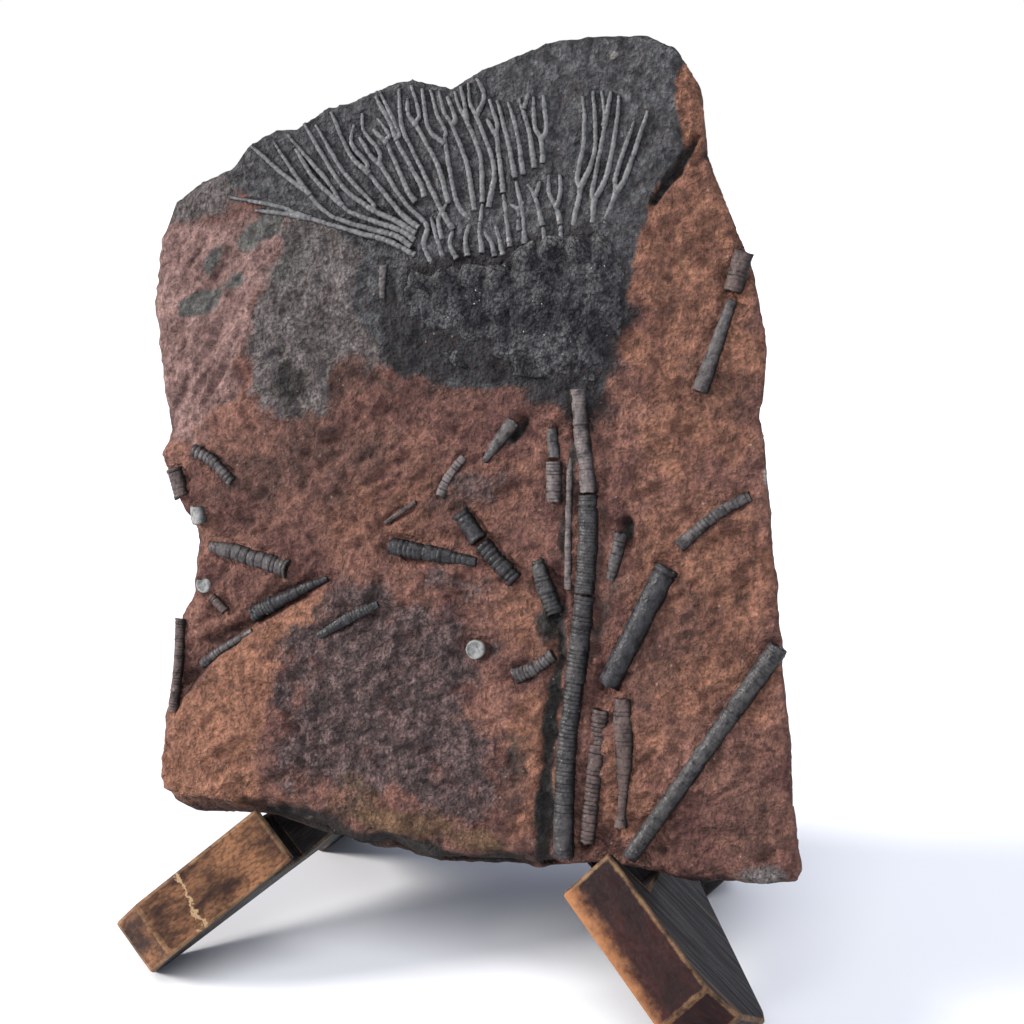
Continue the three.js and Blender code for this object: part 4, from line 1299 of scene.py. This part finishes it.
class RockFace:
    """The relief of the rock face and the masks that colour it."""

    def broad(self, places: np.ndarray) -> np.ndarray:
        """Gives the broad relief that the fossils sit on.

        Args:
            places: Places (u, w).

        Returns:
            Heights in millimetres.
        """
        u, w = places.T
        crown = ease(120, 150, w)
        waves = np.sin(u * 0.071 + w * 0.043) + np.sin(w * 0.093 - u * 0.05 + 1.3)
        height = (waves - 1.0) * 0.5 * (1 - crown)
        height -= 4.0 * ease(74, 110, -u)
        height -= 4.0 * ease(58, 98, u) * crown
        block = ease(-1.4, 1.4, outline_depth(places, BLOCK_OUTLINE))
        height += 2.3 * block * ease(18, -34, u)
        dip = outline_depth(places, ((-96, 60), (-88, 86), (-60, 92), (-40, 84), (-36, 76),
                                     (-62, 60), (-82, 45), (-96, 38)))
        height -= 1.1 * ease(-8, 4, dip)
        return height

    def height(self, places: np.ndarray) -> np.ndarray:
        """Gives the full relief.

        Args:
            places: Places (u, w).

        Returns:
            Heights in millimetres.
        """
        u, w = places.T
        height = self.broad(places)
        for channel in CHANNELS:
            height -= channel.cut(places)
        for stem in STEMS:
            reach = path_distance(places, stem.route)
            radius = max(size for _at, size in stem.radii)
            height -= 0.5 * ease(radius + 1.4, radius + 0.2, reach)
        calm = ease(188, 200, w) * ease(66, 58, u)
        mauve = ease(-4, 6, outline_depth(places, PATCHES_BY_MASK["mauve"][0].outline))
        height += 0.95 * mauve * (1 - 2 * np.abs(streaks(places, 57, 34, 4.2, 11)))
        height += 0.8 * mauve * streaks(places, 50, 46, 11, 12)
        middle = ease(150, 132, w) * (1 - mauve)
        height += 1.15 * middle * streaks(places, 27, 20, 6.5, 21)
        height += 0.60 * middle * streaks(places, 32, 8, 2.8, 22)
        height += 1.3 * (1 - calm) * rough(places, 26, 31, 2)
        height += 0.62 * calm * self._faint_arms(places)
        height += 0.80 * (1 - 0.75 * calm) * (1 - 0.5 * mauve) * rough(places, 5.5, 41, 3)
        height += 0.44 * (1 - 0.6 * calm) * rough(places, 2.6, 51, 2)
        return height - self._edge_roll(places)

    @staticmethod
    def _faint_arms(places: np.ndarray) -> np.ndarray:
        """Gives faint ridges that fan out above the cup, between the arms.

        Args:
            places: Places (u, w).

        Returns:
            One number for each place, from about -1 to 1.
        """
        away = places - np.array([18.0, 112.0])
        fan = np.arctan2(away[:, 0], away[:, 1]) * 52.0
        reach = np.hypot(*away.T) / 13.0
        return rough(np.column_stack((fan, reach)), 1.0, 91, 2)

    @staticmethod
    def _edge_roll(places: np.ndarray) -> np.ndarray:
        """Gives how far the face falls back near the slab's outline.

        Args:
            places: Places (u, w).

        Returns:
            Depths in millimetres.
        """
        u, w = places.T
        depth = np.maximum(outline_depth(places, SLAB_OUTLINE), 0.0)
        uneven = 1 + 0.5 * rough(places, 11, 61)
        foot = ease(16, 6, w) * ease(-72, -56, u) * ease(44, 36, u)
        corner = ease(14, 4, w) * ease(60, 90, u)
        left = ease(-80, -90, u) * ease(110, 130, w)
        width = 3.2 + 6.0 * foot + 3.5 * corner + 4.0 * left
        amount = 1.5 + 5.5 * foot + 2.2 * corner + 2.0 * left
        near = np.clip(1 - depth / (width * uneven), 0, 1)
        return amount * near ** 2

    @staticmethod
    def masks(places: np.ndarray) -> dict[str, np.ndarray]:
        """Gives the masks that colour the face.

        Args:
            places: Places (u, w).

        Returns:
            Numbers from 0 to 1 for each mask's name.
        """
        shares = {name: np.zeros(len(places)) for name in MASKS}
        for number, patch in enumerate(PATCHES):
            found = patch.share(places, 200 + 7 * number)
            shares[patch.mask] = np.maximum(shares[patch.mask], found)
        return shares


PATCHES_BY_MASK: dict[str, list[Patch]] = {
    name: [patch for patch in PATCHES if patch.mask == name] for name in MASKS}


@dataclass
class Slab:
    """The slab of rock in one closed piece."""

    face: RockFace
    matrix: Matrix
    thickness: float = 31.0
    taper: float = 0.05
    sag: float = 9.0
    left_sag: float = 0.107
    voxel: float = 0.86
    most_triangles: int = 194000
    steps: int = 6
    bulge: float = 0.02
    sag_reach: float = 70.0

    def build(self, shared: SharedGroups) -> bpy.types.Object:
        """Builds, shapes and dresses the slab.

        Args:
            shared: The shared node groups.

        Returns:
            The finished piece.
        """
        slab = new_object("matrix_slab_relief", self._block(), Matrix.Identity(4))
        grid = slab.modifiers.new("even_mesh", "REMESH")
        grid.mode = "VOXEL"
        grid.voxel_size = self.voxel
        settle_modifiers(slab)
        self._shape(slab)
        place_inside(slab, self.matrix)
        hand_over(slab, "matrix", RockFinish().build(shared), "matrix_slab")
        return slab

    def _block(self) -> bmesh.types.BMesh:
        """Makes the plain block: the outline drawn back, tapering and sagging.

        Returns:
            The block's shape in face millimetres.
        """
        bm = bmesh.new()
        corners = [bm.verts.new((u, w, 0.0)) for u, w in SLAB_OUTLINE]
        cap = bm.faces.new(corners)
        home = {corner: corner.co.copy() for corner in corners}
        for step in range(1, self.steps + 1):
            drawn = bmesh.ops.extrude_face_region(bm, geom=[cap])["geom"]
            fresh = [part for part in drawn if isinstance(part, bmesh.types.BMVert)]
            cap = next(part for part in drawn if isinstance(part, bmesh.types.BMFace))
            behind = step / self.steps
            swell = 1 + self.bulge * math.sin(math.pi * behind) - self.taper * behind
            moved = {}
            for corner in fresh:
                start = min(home, key=lambda old: (home[old].xy - corner.co.xy).length
                            if step == 1 else (old.co - corner.co).length)
                u, w = home[start].xy
                near_foot = 1 - float(ease(0, self.sag_reach, np.array([w]))[0])
                drop = (self.sag + self.left_sag * max(0.0, -u)) * behind * near_foot
                height = SLAB_MIDDLE + (w - SLAB_MIDDLE) * swell - drop
                moved[corner] = (home[start], Vector(
                    (u * swell, height, -self.thickness * behind)))
            home = {}
            for corner, (first, place) in moved.items():
                corner.co = place
                home[corner] = first
        bmesh.ops.recalc_face_normals(bm, faces=bm.faces)
        return bm

    def _shape(self, slab: bpy.types.Object) -> None:
        """Carves the relief and stores the masks.

        Args:
            slab: The evenly meshed block.
        """
        mesh = slab.data
        points, normals = read_points(mesh), read_normals(mesh)
        places = points[:, :2]
        behind = ease(-0.4, -3.0, points[:, 2])
        layers = points * np.array([0.25, 0.25, 1.0])
        hew = 0.9 - 0.7 * rough(points, 17, 71) - 0.45 * rough(layers, 3.2, 72)
        hew += 0.25 * rough(points, 4.0, 73)
        sideways = np.hypot(*normals[:, :2].T) ** 2
        chips = 0.7 + 0.7 * rough(places, 6.5, 74, 3) + 0.8 * rough(places, 19, 75, 2)
        cut = np.maximum(np.clip(hew, 0.1, 3.0) * behind, np.clip(chips, 0.1, 2.6) * sideways)
        points -= normals * cut[:, None]
        relief = self.face.height(places)
        near = ease(-11.0, -0.8, points[:, 2])
        points[:, 2] += relief * near
        write_points(mesh, points)
        self._thin_back(slab)
        mesh = slab.data
        points = read_points(mesh)
        places = points[:, :2]
        relief = self.face.height(places)
        near = ease(-14.0, -4.0, points[:, 2])
        shares = self.face.masks(places)
        shallow = ease(-17.0, -5.0, points[:, 2] + 2.5 * rough(points, 9, 81))
        for name in MASKS:
            write_mask(mesh, name, shares[name] * shallow)
        # The pit mask marks the low places, the fine hollows and the deep channels. The finish paints shade
        # there.
        flat = relief - self.face.broad(places)
        fine = 0.6 * rough(places, 5.5, 41, 3) + 0.5 * streaks(places, 32, 7, 2.2, 22)
        pit = ease(0.35, 1.0, -fine) * 0.55 + ease(-1.6, -3.6, flat) * 0.8
        write_mask(mesh, "pit", np.clip(pit, 0, 1) * (0.4 + 0.6 * near))
        coarse = np.clip(shares["soot"] + 0.8 * shares["purple"] + 0.25 * shares["crown"]
                         + 0.5 * shares["smoky"] + 0.3 - 0.3 * shares["mauve"], 0, 1)
        write_mask(mesh, "coarse", coarse)

    def _thin_back(self, slab: bpy.types.Object) -> None:
        """Thins the mesh of the back and the sides, and keeps the face fine.

        Args:
            slab: The carved slab.
        """
        depths = read_points(slab.data)[:, 2]
        group = slab.vertex_groups.new(name="back")
        for share, (near, far) in ((1.0, (-12.0, -99.0)), (0.6, (-8.5, -12.0))):
            found = np.flatnonzero((depths < near) & (depths >= far))
            group.add([int(number) for number in found], share, "REPLACE")
        slab.data.calc_loop_triangles()
        thin = slab.modifiers.new("thin_back", "DECIMATE")
        thin.vertex_group = "back"
        thin.ratio = min(1.0, self.most_triangles / len(slab.data.loop_triangles))
        settle_modifiers(slab)
        slab.vertex_groups.clear()


@dataclass
class Cup:
    """The gritty black cup, with a lobe under each group of arms."""

    face: RockFace
    matrix: Matrix
    rise: float = 2.9
    lobe_rise: float = 1.9
    seam_depth: float = 1.0
    sunk: float = 1.6
    plate: float = 2.4
    voxel: float = 0.62
    lobes: tuple[tuple[float, float, float], ...] = (
        (-13.5, 172, 4.4), (-4.5, 173.5, 4.7), (4.5, 174.5, 4.8), (12.5, 176, 4.4),
        (20.5, 179, 4.4), (28.5, 181, 4.4), (37, 182, 4.6), (45.5, 181.5, 4.4),
    )
    seams: tuple[Points, ...] = (
        ((-9, 176), (-8, 166), (-10, 155)), ((0, 176), (0.5, 168)), ((8.7, 176), (8.5, 168)),
        ((16.2, 179), (16.0, 168), (17.5, 154)), ((24.6, 184), (24.4, 176)),
        ((33, 185), (32.6, 174)), ((41, 186), (40.6, 168), (38, 146)),
    )

    def build(self, shared: SharedGroups) -> bpy.types.Object:
        """Builds, shapes and dresses the cup.

        Args:
            shared: The shared node groups.

        Returns:
            The finished piece.
        """
        bm = bmesh.new()
        plate = bm.faces.new([bm.verts.new((u, w, -self.sunk)) for u, w in CUP_OUTLINE])
        drawn = bmesh.ops.extrude_face_region(bm, geom=[plate])["geom"]
        fresh = [part for part in drawn if isinstance(part, bmesh.types.BMVert)]
        bmesh.ops.translate(bm, verts=fresh, vec=(0.0, 0.0, self.plate))
        cup = new_object("crown_cup_gritty", bm, Matrix.Identity(4))
        grid = cup.modifiers.new("even_mesh", "REMESH")
        grid.mode = "VOXEL"
        grid.voxel_size = self.voxel
        settle_modifiers(cup)
        points = read_points(cup.data)
        places = points[:, :2].copy()
        depth = np.maximum(outline_depth(places, CUP_OUTLINE), 0.0)
        above = ease(-0.9, 0.7, points[:, 2])
        w = places[:, 1]
        top = ease(160, 172, w)
        height = self.rise * ease(-1.0, 12.0 - 7.0 * top, depth) * ease(141, 160, w)
        for u, lobe_w, size in self.lobes:
            reach = np.hypot(places[:, 0] - u, (places[:, 1] - lobe_w) * 0.7)
            height += self.lobe_rise * ease(size, size * 0.1, reach)
        for seam in self.seams:
            height -= self.seam_depth * ease(1.7, 0.3, path_distance(places, seam)
                                             * (1 + 0.6 * rough(places, 5, 311, 2)))
        ragged = ease(9.0, 0.0, depth) * (1.0 + 2.2 * rough(places, 7, 321, 3))
        height -= ragged * (0.12 + 0.88 * ease(172, 160, w))
        height += 1.1 * rough(places, 8, 301, 2)
        grit = 0.75 * rough(places, 2.8, 303, 2) + 0.5 * np.abs(rough(places, 1.8, 305, 2))
        height += grit
        points[:, 2] += above * np.maximum(height - 0.5, -2.2)
        write_points(cup.data, points)
        # The crest mask is high along the rims of the top lobes and on the tops of the grit. The finish
        # paints these paler: worn stone with a painted highlight.
        highlit_lobe_rim = ease(5.0, 1.0, depth) * ease(164, 174, places[:, 1])
        write_mask(cup.data, "crest", above * np.clip(
            0.9 * highlit_lobe_rim + 0.25 + 0.45 * grit, 0, 1))
        place_inside(cup, self.matrix)
        hand_over(cup, "cup", CupFinish().build(shared), "crown_cup")
        return cup


@dataclass
class Fossils:
    """The arms, the stems and the loose lengths on the face."""

    face: RockFace
    matrix: Matrix
    arm_half_width: float = 0.84
    arm_height: float = 0.98
    arm_joint: float = 1.9
    arm_lift: float = 0.16
    arm_sides: int = 10
    stem_sides: int = 22
    ring_gap: float = 0.42

    def build(self, shared: SharedGroups) -> None:
        """Builds and dresses every arm and stem.

        Args:
            shared: The shared node groups.
        """
        finishes = {look: FossilFinish(look).build(shared) for look in StemLook}
        for number, lines in enumerate(ARM_LINES, start=1):
            node = f"arm_{number:02d}"
            arm = self._arm(f"{node}_jointed", lines, number)
            hand_over(arm, "arms", finishes[StemLook.ARM], node)
        for number, line in enumerate(ARM_STUBS, start=1):
            stub = self._arm(f"arm_stub_{number}", (line,), 40 + number)
            hand_over(stub, "arms", finishes[StemLook.ARM])
        for number, stem in enumerate(STEMS):
            piece = self._stem(stem, 500 + 11 * number)
            nodes = (stem.name,) if stem.node else ()
            hand_over(piece, "stems", finishes[stem.look], *nodes)

    def _arm(self, name: str, lines: tuple[Points, ...], seed: int) -> bpy.types.Object:
        """Builds one arm with its side branches joined on.

        Args:
            name: The piece's name.
            lines: Its main line and its side branches.
            seed: Whole number that picks its unevenness.

        Returns:
            The arm, placed in the frame.
        """
        arm = self._ridge(name, lines[0], seed)
        for number, line in enumerate(lines[1:], start=1):
            branch = self._ridge(f"{name}_branch_{number}", line, seed + 17 * number)
            union = arm.modifiers.new("join", "BOOLEAN")
            union.operation = "UNION"
            union.solver = "MANIFOLD"
            union.object = branch
            settle_modifiers(arm)
            bpy.data.objects.remove(branch)
        points = read_points(arm.data)
        # The crest mask rises with height above the rock. The finish paints the arm paler along its top and
        # darker low down by the rock: painted light and painted shade.
        above = points[:, 2] - self.face.broad(points[:, :2])
        write_mask(arm.data, "crest", ease(0.25, 1.12, above))
        place_inside(arm, self.matrix)
        return arm

    def _ridge(self, name: str, line: Points, seed: int) -> bpy.types.Object:
        """Builds one jointed ridge along a line.

        Args:
            name: The piece's name.
            line: Corners of its route.
            seed: Whole number that picks its unevenness.

        Returns:
            The ridge in face millimetres.
        """
        route = Route(line)
        rings = max(4, round(route.length / self.ring_gap))
        bm = unit_bar(self.arm_sides, rings)
        ridge = new_object(name, bm, Matrix.Identity(4))
        points = read_points(ridge.data)
        walked = points[:, 2] * route.length
        angle = np.arctan2(points[:, 1], points[:, 0])
        radial = np.hypot(points[:, 0], points[:, 1])
        joint = walked / self.arm_joint + 0.3 * seed
        gap = np.abs(joint - np.round(joint)) * self.arm_joint
        notch = ease(0.34, 0.05, gap) * (0.17 + 0.12 * lattice(
            np.column_stack((np.round(joint), np.full(len(joint), float(seed)))), 5))
        tip = 1.34 - 0.26 * ease(0.0, 0.5, points[:, 2]) - 0.30 * ease(0.75, 1.0, points[:, 2])
        swell = 1 + 0.10 * lattice(np.column_stack((walked / 5, np.full(len(walked), 0.5))), seed)
        reach = radial * tip * swell * (1 - notch)
        side = np.column_stack((-route.heading(walked)[:, 1], route.heading(walked)[:, 0]))
        wander = 0.12 * lattice(np.column_stack((walked / 2.2, np.full(len(walked), 0.3))),
                                seed + 3)
        places = route.at(walked) + side * (self.arm_half_width * np.cos(angle) * reach
                                            + wander)[:, None]
        lifted = self.face.broad(route.at(walked)) + self.arm_lift
        height = lifted + self.arm_height * np.sin(angle) * reach
        write_points(ridge.data, np.column_stack((places, height)))
        return ridge

    def _stem(self, stem: StemPiece, seed: int) -> bpy.types.Object:
        """Builds one length of ribbed stem.

        Args:
            stem: Its route, radii and ribs.
            seed: Whole number that picks its unevenness.

        Returns:
            The stem, placed in the frame.
        """
        route = Route(stem.route)
        ribs = max(3, round(route.length / stem.pitch))
        bm = unit_bar(self.stem_sides, ribs * 4)
        piece = new_object(f"{stem.name}_ribbed", bm, Matrix.Identity(4))
        points = read_points(piece.data)
        share = points[:, 2]
        walked = share * route.length
        angle = np.arctan2(points[:, 1], points[:, 0])
        radial = np.hypot(points[:, 0], points[:, 1])
        size = np.interp(share, *np.array(stem.radii).T)
        phase = share * ribs
        gap = np.abs(phase - np.round(phase))
        strength = 0.65 + 0.65 * lattice(
            np.column_stack((np.round(phase), np.zeros(len(phase)))), seed)
        furrow = ease(0.3, 0.0, gap) * strength
        columnal = np.floor(phase)
        nodal = 0.5 * stem.rib * (np.mod(columnal + seed, 6) == 0)
        reach = 1 - stem.rib * furrow + nodal
        for at in stem.breaks:
            reach -= 0.16 * ease(0.55, 0.1, np.abs(walked - at * route.length))
        skin = np.column_stack((walked, size * np.cos(angle), size * np.sin(angle)))
        reach += 0.6 * stem.lumps * rough(skin, 2.8, seed + 1, 2)
        start, end = stem.ruined
        worn = np.maximum(ease(start, 0.0, walked) if start else 0.0,
                          ease(route.length - end, route.length, walked) if end else 0.0)
        crumbs = rough(skin, 1.5, seed + 2, 2)
        reach += worn * (0.20 * crumbs - 0.06)
        capped = (share <= 0.0) | (share >= 1.0)
        ends = np.where(share > 0.5, 1.0, -1.0)
        jag = np.where(capped, ends * (0.45 * crumbs - 0.15) * min(1.0, 0.35 * size.max()), 0.0)
        heading = route.heading(np.clip(walked, 0.5, max(0.6, route.length - 0.5)))
        side = np.column_stack((-heading[:, 1], heading[:, 0]))
        centre = route.at(walked) + heading * jag[:, None]
        wide = size * reach * radial
        places = centre + side * (wide * np.cos(angle))[:, None]
        floor = self.face.broad(route.at(walked)) + stem.lift * size
        height = floor + wide * stem.flat * np.sin(angle)
        write_points(piece.data, np.column_stack((places, height)))
        # The crest mask is low in the rib furrows and on crumbled ends. It is also low on the lower flanks
        # and the right side and high along the top and upper left: painted shade and painted light, which
        # the finish turns into darker and paler colour.
        toward_light = 0.8 * np.sin(angle) - 0.6 * np.cos(angle) * side[:, 0]
        crest = np.clip(1 - 1.2 * min(1.0, stem.rib / 0.09) * furrow - 0.35 * worn
                        + 0.25 * crumbs, 0, 1) * (0.1 + 0.9 * ease(-0.35, 0.75, toward_light))
        write_mask(piece.data, "crest", crest)
        place_inside(piece, self.matrix)
        return piece


@dataclass
class Columnal:
    """A loose round plate of stem, seen end on."""

    name: str
    at: tuple[float, float]
    radius: float
    matrix: Matrix
    face: RockFace

    def build(self, material: bpy.types.Material, seed: int) -> bpy.types.Object:
        """Builds and dresses the plate.

        Args:
            material: Its finish.
            seed: Whole number that picks its unevenness.

        Returns:
            The finished piece.
        """
        bm = bmesh.new()
        bmesh.ops.create_cone(bm, cap_ends=True, cap_tris=False, segments=36,
                              radius1=self.radius, radius2=self.radius * 0.97, depth=2.0)
        top = [face for face in bm.faces if face.normal.z > 0.9]
        rim = [edge for face in top for edge in face.edges]
        bmesh.ops.bevel(bm, geom=rim, offset=0.28, segments=2, affect="EDGES", profile=0.5,
                        material=-1)
        for width, depth in ((0.35, 0.0), (0.3, -0.22), (0.8, 0.05), (0.5, -0.2)):
            top = [face for face in bm.faces if len(face.verts) >= 30 and face.normal.z > 0.9]
            bmesh.ops.inset_region(bm, faces=top, thickness=width, depth=depth)
        bmesh.ops.poke(bm, faces=[face for face in bm.faces if len(face.verts) >= 30])
        piece = new_object(f"{self.name}_plate", bm, Matrix.Identity(4))
        points = read_points(piece.data)
        angle = np.arctan2(points[:, 1], points[:, 0])
        ring = np.column_stack((np.cos(angle), np.sin(angle))) * 1.3
        points[:, :2] *= (1 + 0.07 * rough(ring, 1.0, seed, 2))[:, None]
        points[:, 2] += 0.10 * rough(points[:, :2] + 40.0, 1.1, seed + 1, 2)
        base = self.face.broad(np.array([self.at]))[0]
        crest = ease(0.35, 0.95, np.hypot(*points[:, :2].T) / self.radius)
        points += np.array([*self.at, base])
        write_points(piece.data, points)
        write_mask(piece.data, "crest", crest)
        place_inside(piece, self.matrix)
        hand_over(piece, "columnal_disc", material, self.name)
        return piece


@dataclass
class Board:
    """One board of the stand, with softened and worn edges."""

    node: str
    finish: WoodFinish
    weld: float = 0.000002
    flat_angle: float = math.radians(1.0)
    sharp_angle: float = math.radians(12.0)
    bevel: float = 0.0009
    border: float = 0.0018
    broad_face: float = 0.0001
    front_reach: float = 0.024

    def build(self, shared: SharedGroups) -> bpy.types.Object:
        """Builds and dresses the board.

        Args:
            shared: The shared node groups.

        Returns:
            The finished piece.
        """
        bm = bmesh.new()
        bm.from_mesh(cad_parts[self.node].data)
        bmesh.ops.remove_doubles(bm, verts=bm.verts, dist=self.weld)
        bmesh.ops.dissolve_limit(bm, angle_limit=self.flat_angle, verts=bm.verts,
                                 edges=bm.edges)
        sharp = [edge for edge in bm.edges if edge.is_manifold and edge.is_convex
                 and edge.calc_face_angle(0.0) > self.sharp_angle]
        bmesh.ops.bevel(bm, geom=sharp, offset=self.bevel, segments=2, affect="EDGES",
                        profile=0.5, material=-1, clamp_overlap=True)
        wide = [face for face in bm.faces if face.calc_area() > self.broad_face]
        bmesh.ops.inset_individual(bm, faces=wide, thickness=self.border, depth=0.0,
                                   use_even_offset=True)
        calm = {corner for face in wide for corner in face.verts}
        edge_share = [0.0 if corner in calm else 1.0 for corner in bm.verts]
        board = new_object(f"{self.node}_finished", bm, Matrix.Identity(4))
        board.data.polygons.foreach_set("use_smooth", [False] * len(board.data.polygons))
        write_mask(board.data, "edge", np.array(edge_share))
        out = Vector((0.0, -math.cos(LEAN), math.sin(LEAN)))
        nearest = max(face.center.dot(out) for face in board.data.polygons)
        front = [max(0.0, min(1.0, 2.2 * face.normal.dot(out) - 0.5))
                 * (face.center.dot(out) > nearest - self.front_reach)
                 for face in board.data.polygons]
        layer = board.data.attributes.new("front", "FLOAT", "FACE")
        layer.data.foreach_set("value", front)
        place_inside(board, Matrix.Identity(4))
        hand_over(board, "stand_wood", self.finish.build(shared), self.node)
        return board


@dataclass(frozen=True)
class Lamp:
    """One broad distant light; its spread, how broad it looks, is in degrees."""

    name: str
    towards: tuple[float, float, float]
    spread: float
    strength: float
    colour: Colour


LAMPS: tuple[Lamp, ...] = (
    Lamp("main_light", (-0.84, -0.38, 0.34), 18.0, 5.1, (1.0, 0.96, 0.92)),
    Lamp("top_light", (0.14, -0.58, 0.80), 45.0, 2.3, (0.97, 0.98, 1.0)),
)


@dataclass
class Studio:
    """Pale floor, soft light and the camera."""

    face: FaceFrame
    eye: tuple[float, float, float] = (0.1366, -0.397, 0.2024)
    turn: tuple[float, float, float] = (76.55, 0.0, 15.32)
    lens: float = 51.27

    def build(self) -> None:
        """Builds the floor, the lights and the camera."""
        self._floor()
        self._world()
        for lamp in LAMPS:
            self._hang(lamp)
        self._camera()

    def _floor(self) -> None:
        """Lays the floor."""
        bm = bmesh.new()
        bmesh.ops.create_grid(bm, x_segments=2, y_segments=2, size=8.0)
        floor = new_object("studio_floor", bm, Matrix.Identity(4))
        floor.data.materials.append(FloorFinish().build())

    def _world(self) -> None:
        """Makes the sky: pure white to the eye, softer and cooler as a light."""
        world = bpy.data.worlds.new("studio_sky")
        bpy.context.scene.world = world
        world.use_nodes = True
        world.node_tree.nodes.clear()
        bench = NodeBench(world.node_tree)
        seen = bench.add("Background", {"Color": (1.0, 1.0, 1.0, 1.0), "Strength": 1.0})
        lit = bench.add("Background", {"Color": (0.76, 0.82, 1.0, 1.0), "Strength": 0.50})
        path = bench.add("LightPath")
        mixed = bench.add("MixShader", {0: path.outputs["Is Camera Ray"], 1: lit.outputs[0],
                                        2: seen.outputs[0]})
        bench.add("OutputWorld", {"Surface": mixed.outputs[0]})

    @staticmethod
    def _hang(lamp: Lamp) -> None:
        """Hangs one light.

        Args:
            lamp: Its direction, breadth, strength and colour.
        """
        data = bpy.data.lights.new(lamp.name, "SUN")
        data.angle = math.radians(lamp.spread)
        data.energy = lamp.strength
        data.color = lamp.colour
        light = bpy.data.objects.new(lamp.name, data)
        bpy.context.scene.collection.objects.link(light)
        light.rotation_euler = (-Vector(lamp.towards)).to_track_quat("-Z", "Y").to_euler()

    def _camera(self) -> None:
        """Sets the camera at the viewing angle."""
        data = bpy.data.cameras.new("camera")
        data.sensor_width = 36.0
        data.lens = self.lens
        camera = bpy.data.objects.new("camera", data)
        bpy.context.scene.collection.objects.link(camera)
        lip_line = self.face.matrix() @ Vector((0.0, 0.0, 7.0))
        camera.location = lip_line + Vector(self.eye)
        camera.rotation_euler = [math.radians(angle) for angle in self.turn]
        bpy.context.scene.camera = camera


DISCS: tuple[tuple[str, tuple[float, float], float, int], ...] = (
    ("centre_columnal_disc", CENTRE_DISC, 3.1, 901),
    ("left_columnal_disc", (-84, 70), 2.7, 907),
)
BOARD_WOODS: dict[str, WoodFinish] = {
    "stand_left_board": WoodFinish(
        name="stained_wood_left", turn=LEG_SLOPE, front_dark=(0.022, 0.010, 0.007),
        front_light=(0.235, 0.108, 0.052), wear=0.36, crack_at=-0.029),
    "stand_right_board": WoodFinish(
        name="stained_wood_right", turn=-LEG_SLOPE, front_dark=(0.009, 0.002, 0.002),
        front_light=(0.026, 0.006, 0.005), wear=0.38, tan_front_limit=0.0602),
}


def main() -> None:
    """Builds the whole fossil plate and its studio."""
    logging.basicConfig(level=logging.INFO, format="%(name)s %(message)s")
    bpy.context.scene.view_settings.view_transform = "Standard"
    axes = FaceFrame.from_disc()
    face = RockFace()
    shared = SharedGroups()
    Studio(axes).build()
    Slab(face, axes.matrix()).build(shared)
    Cup(face, axes.matrix()).build(shared)
    Fossils(face, axes.matrix()).build(shared)
    pale = DiscFinish().build(shared)
    for name, at, radius, seed in DISCS:
        Columnal(name, at, radius, axes.matrix(), face).build(pale, seed)
    for node, wood in BOARD_WOODS.items():
        Board(node, wood).build(shared)


if __name__ == "__main__":
    main()
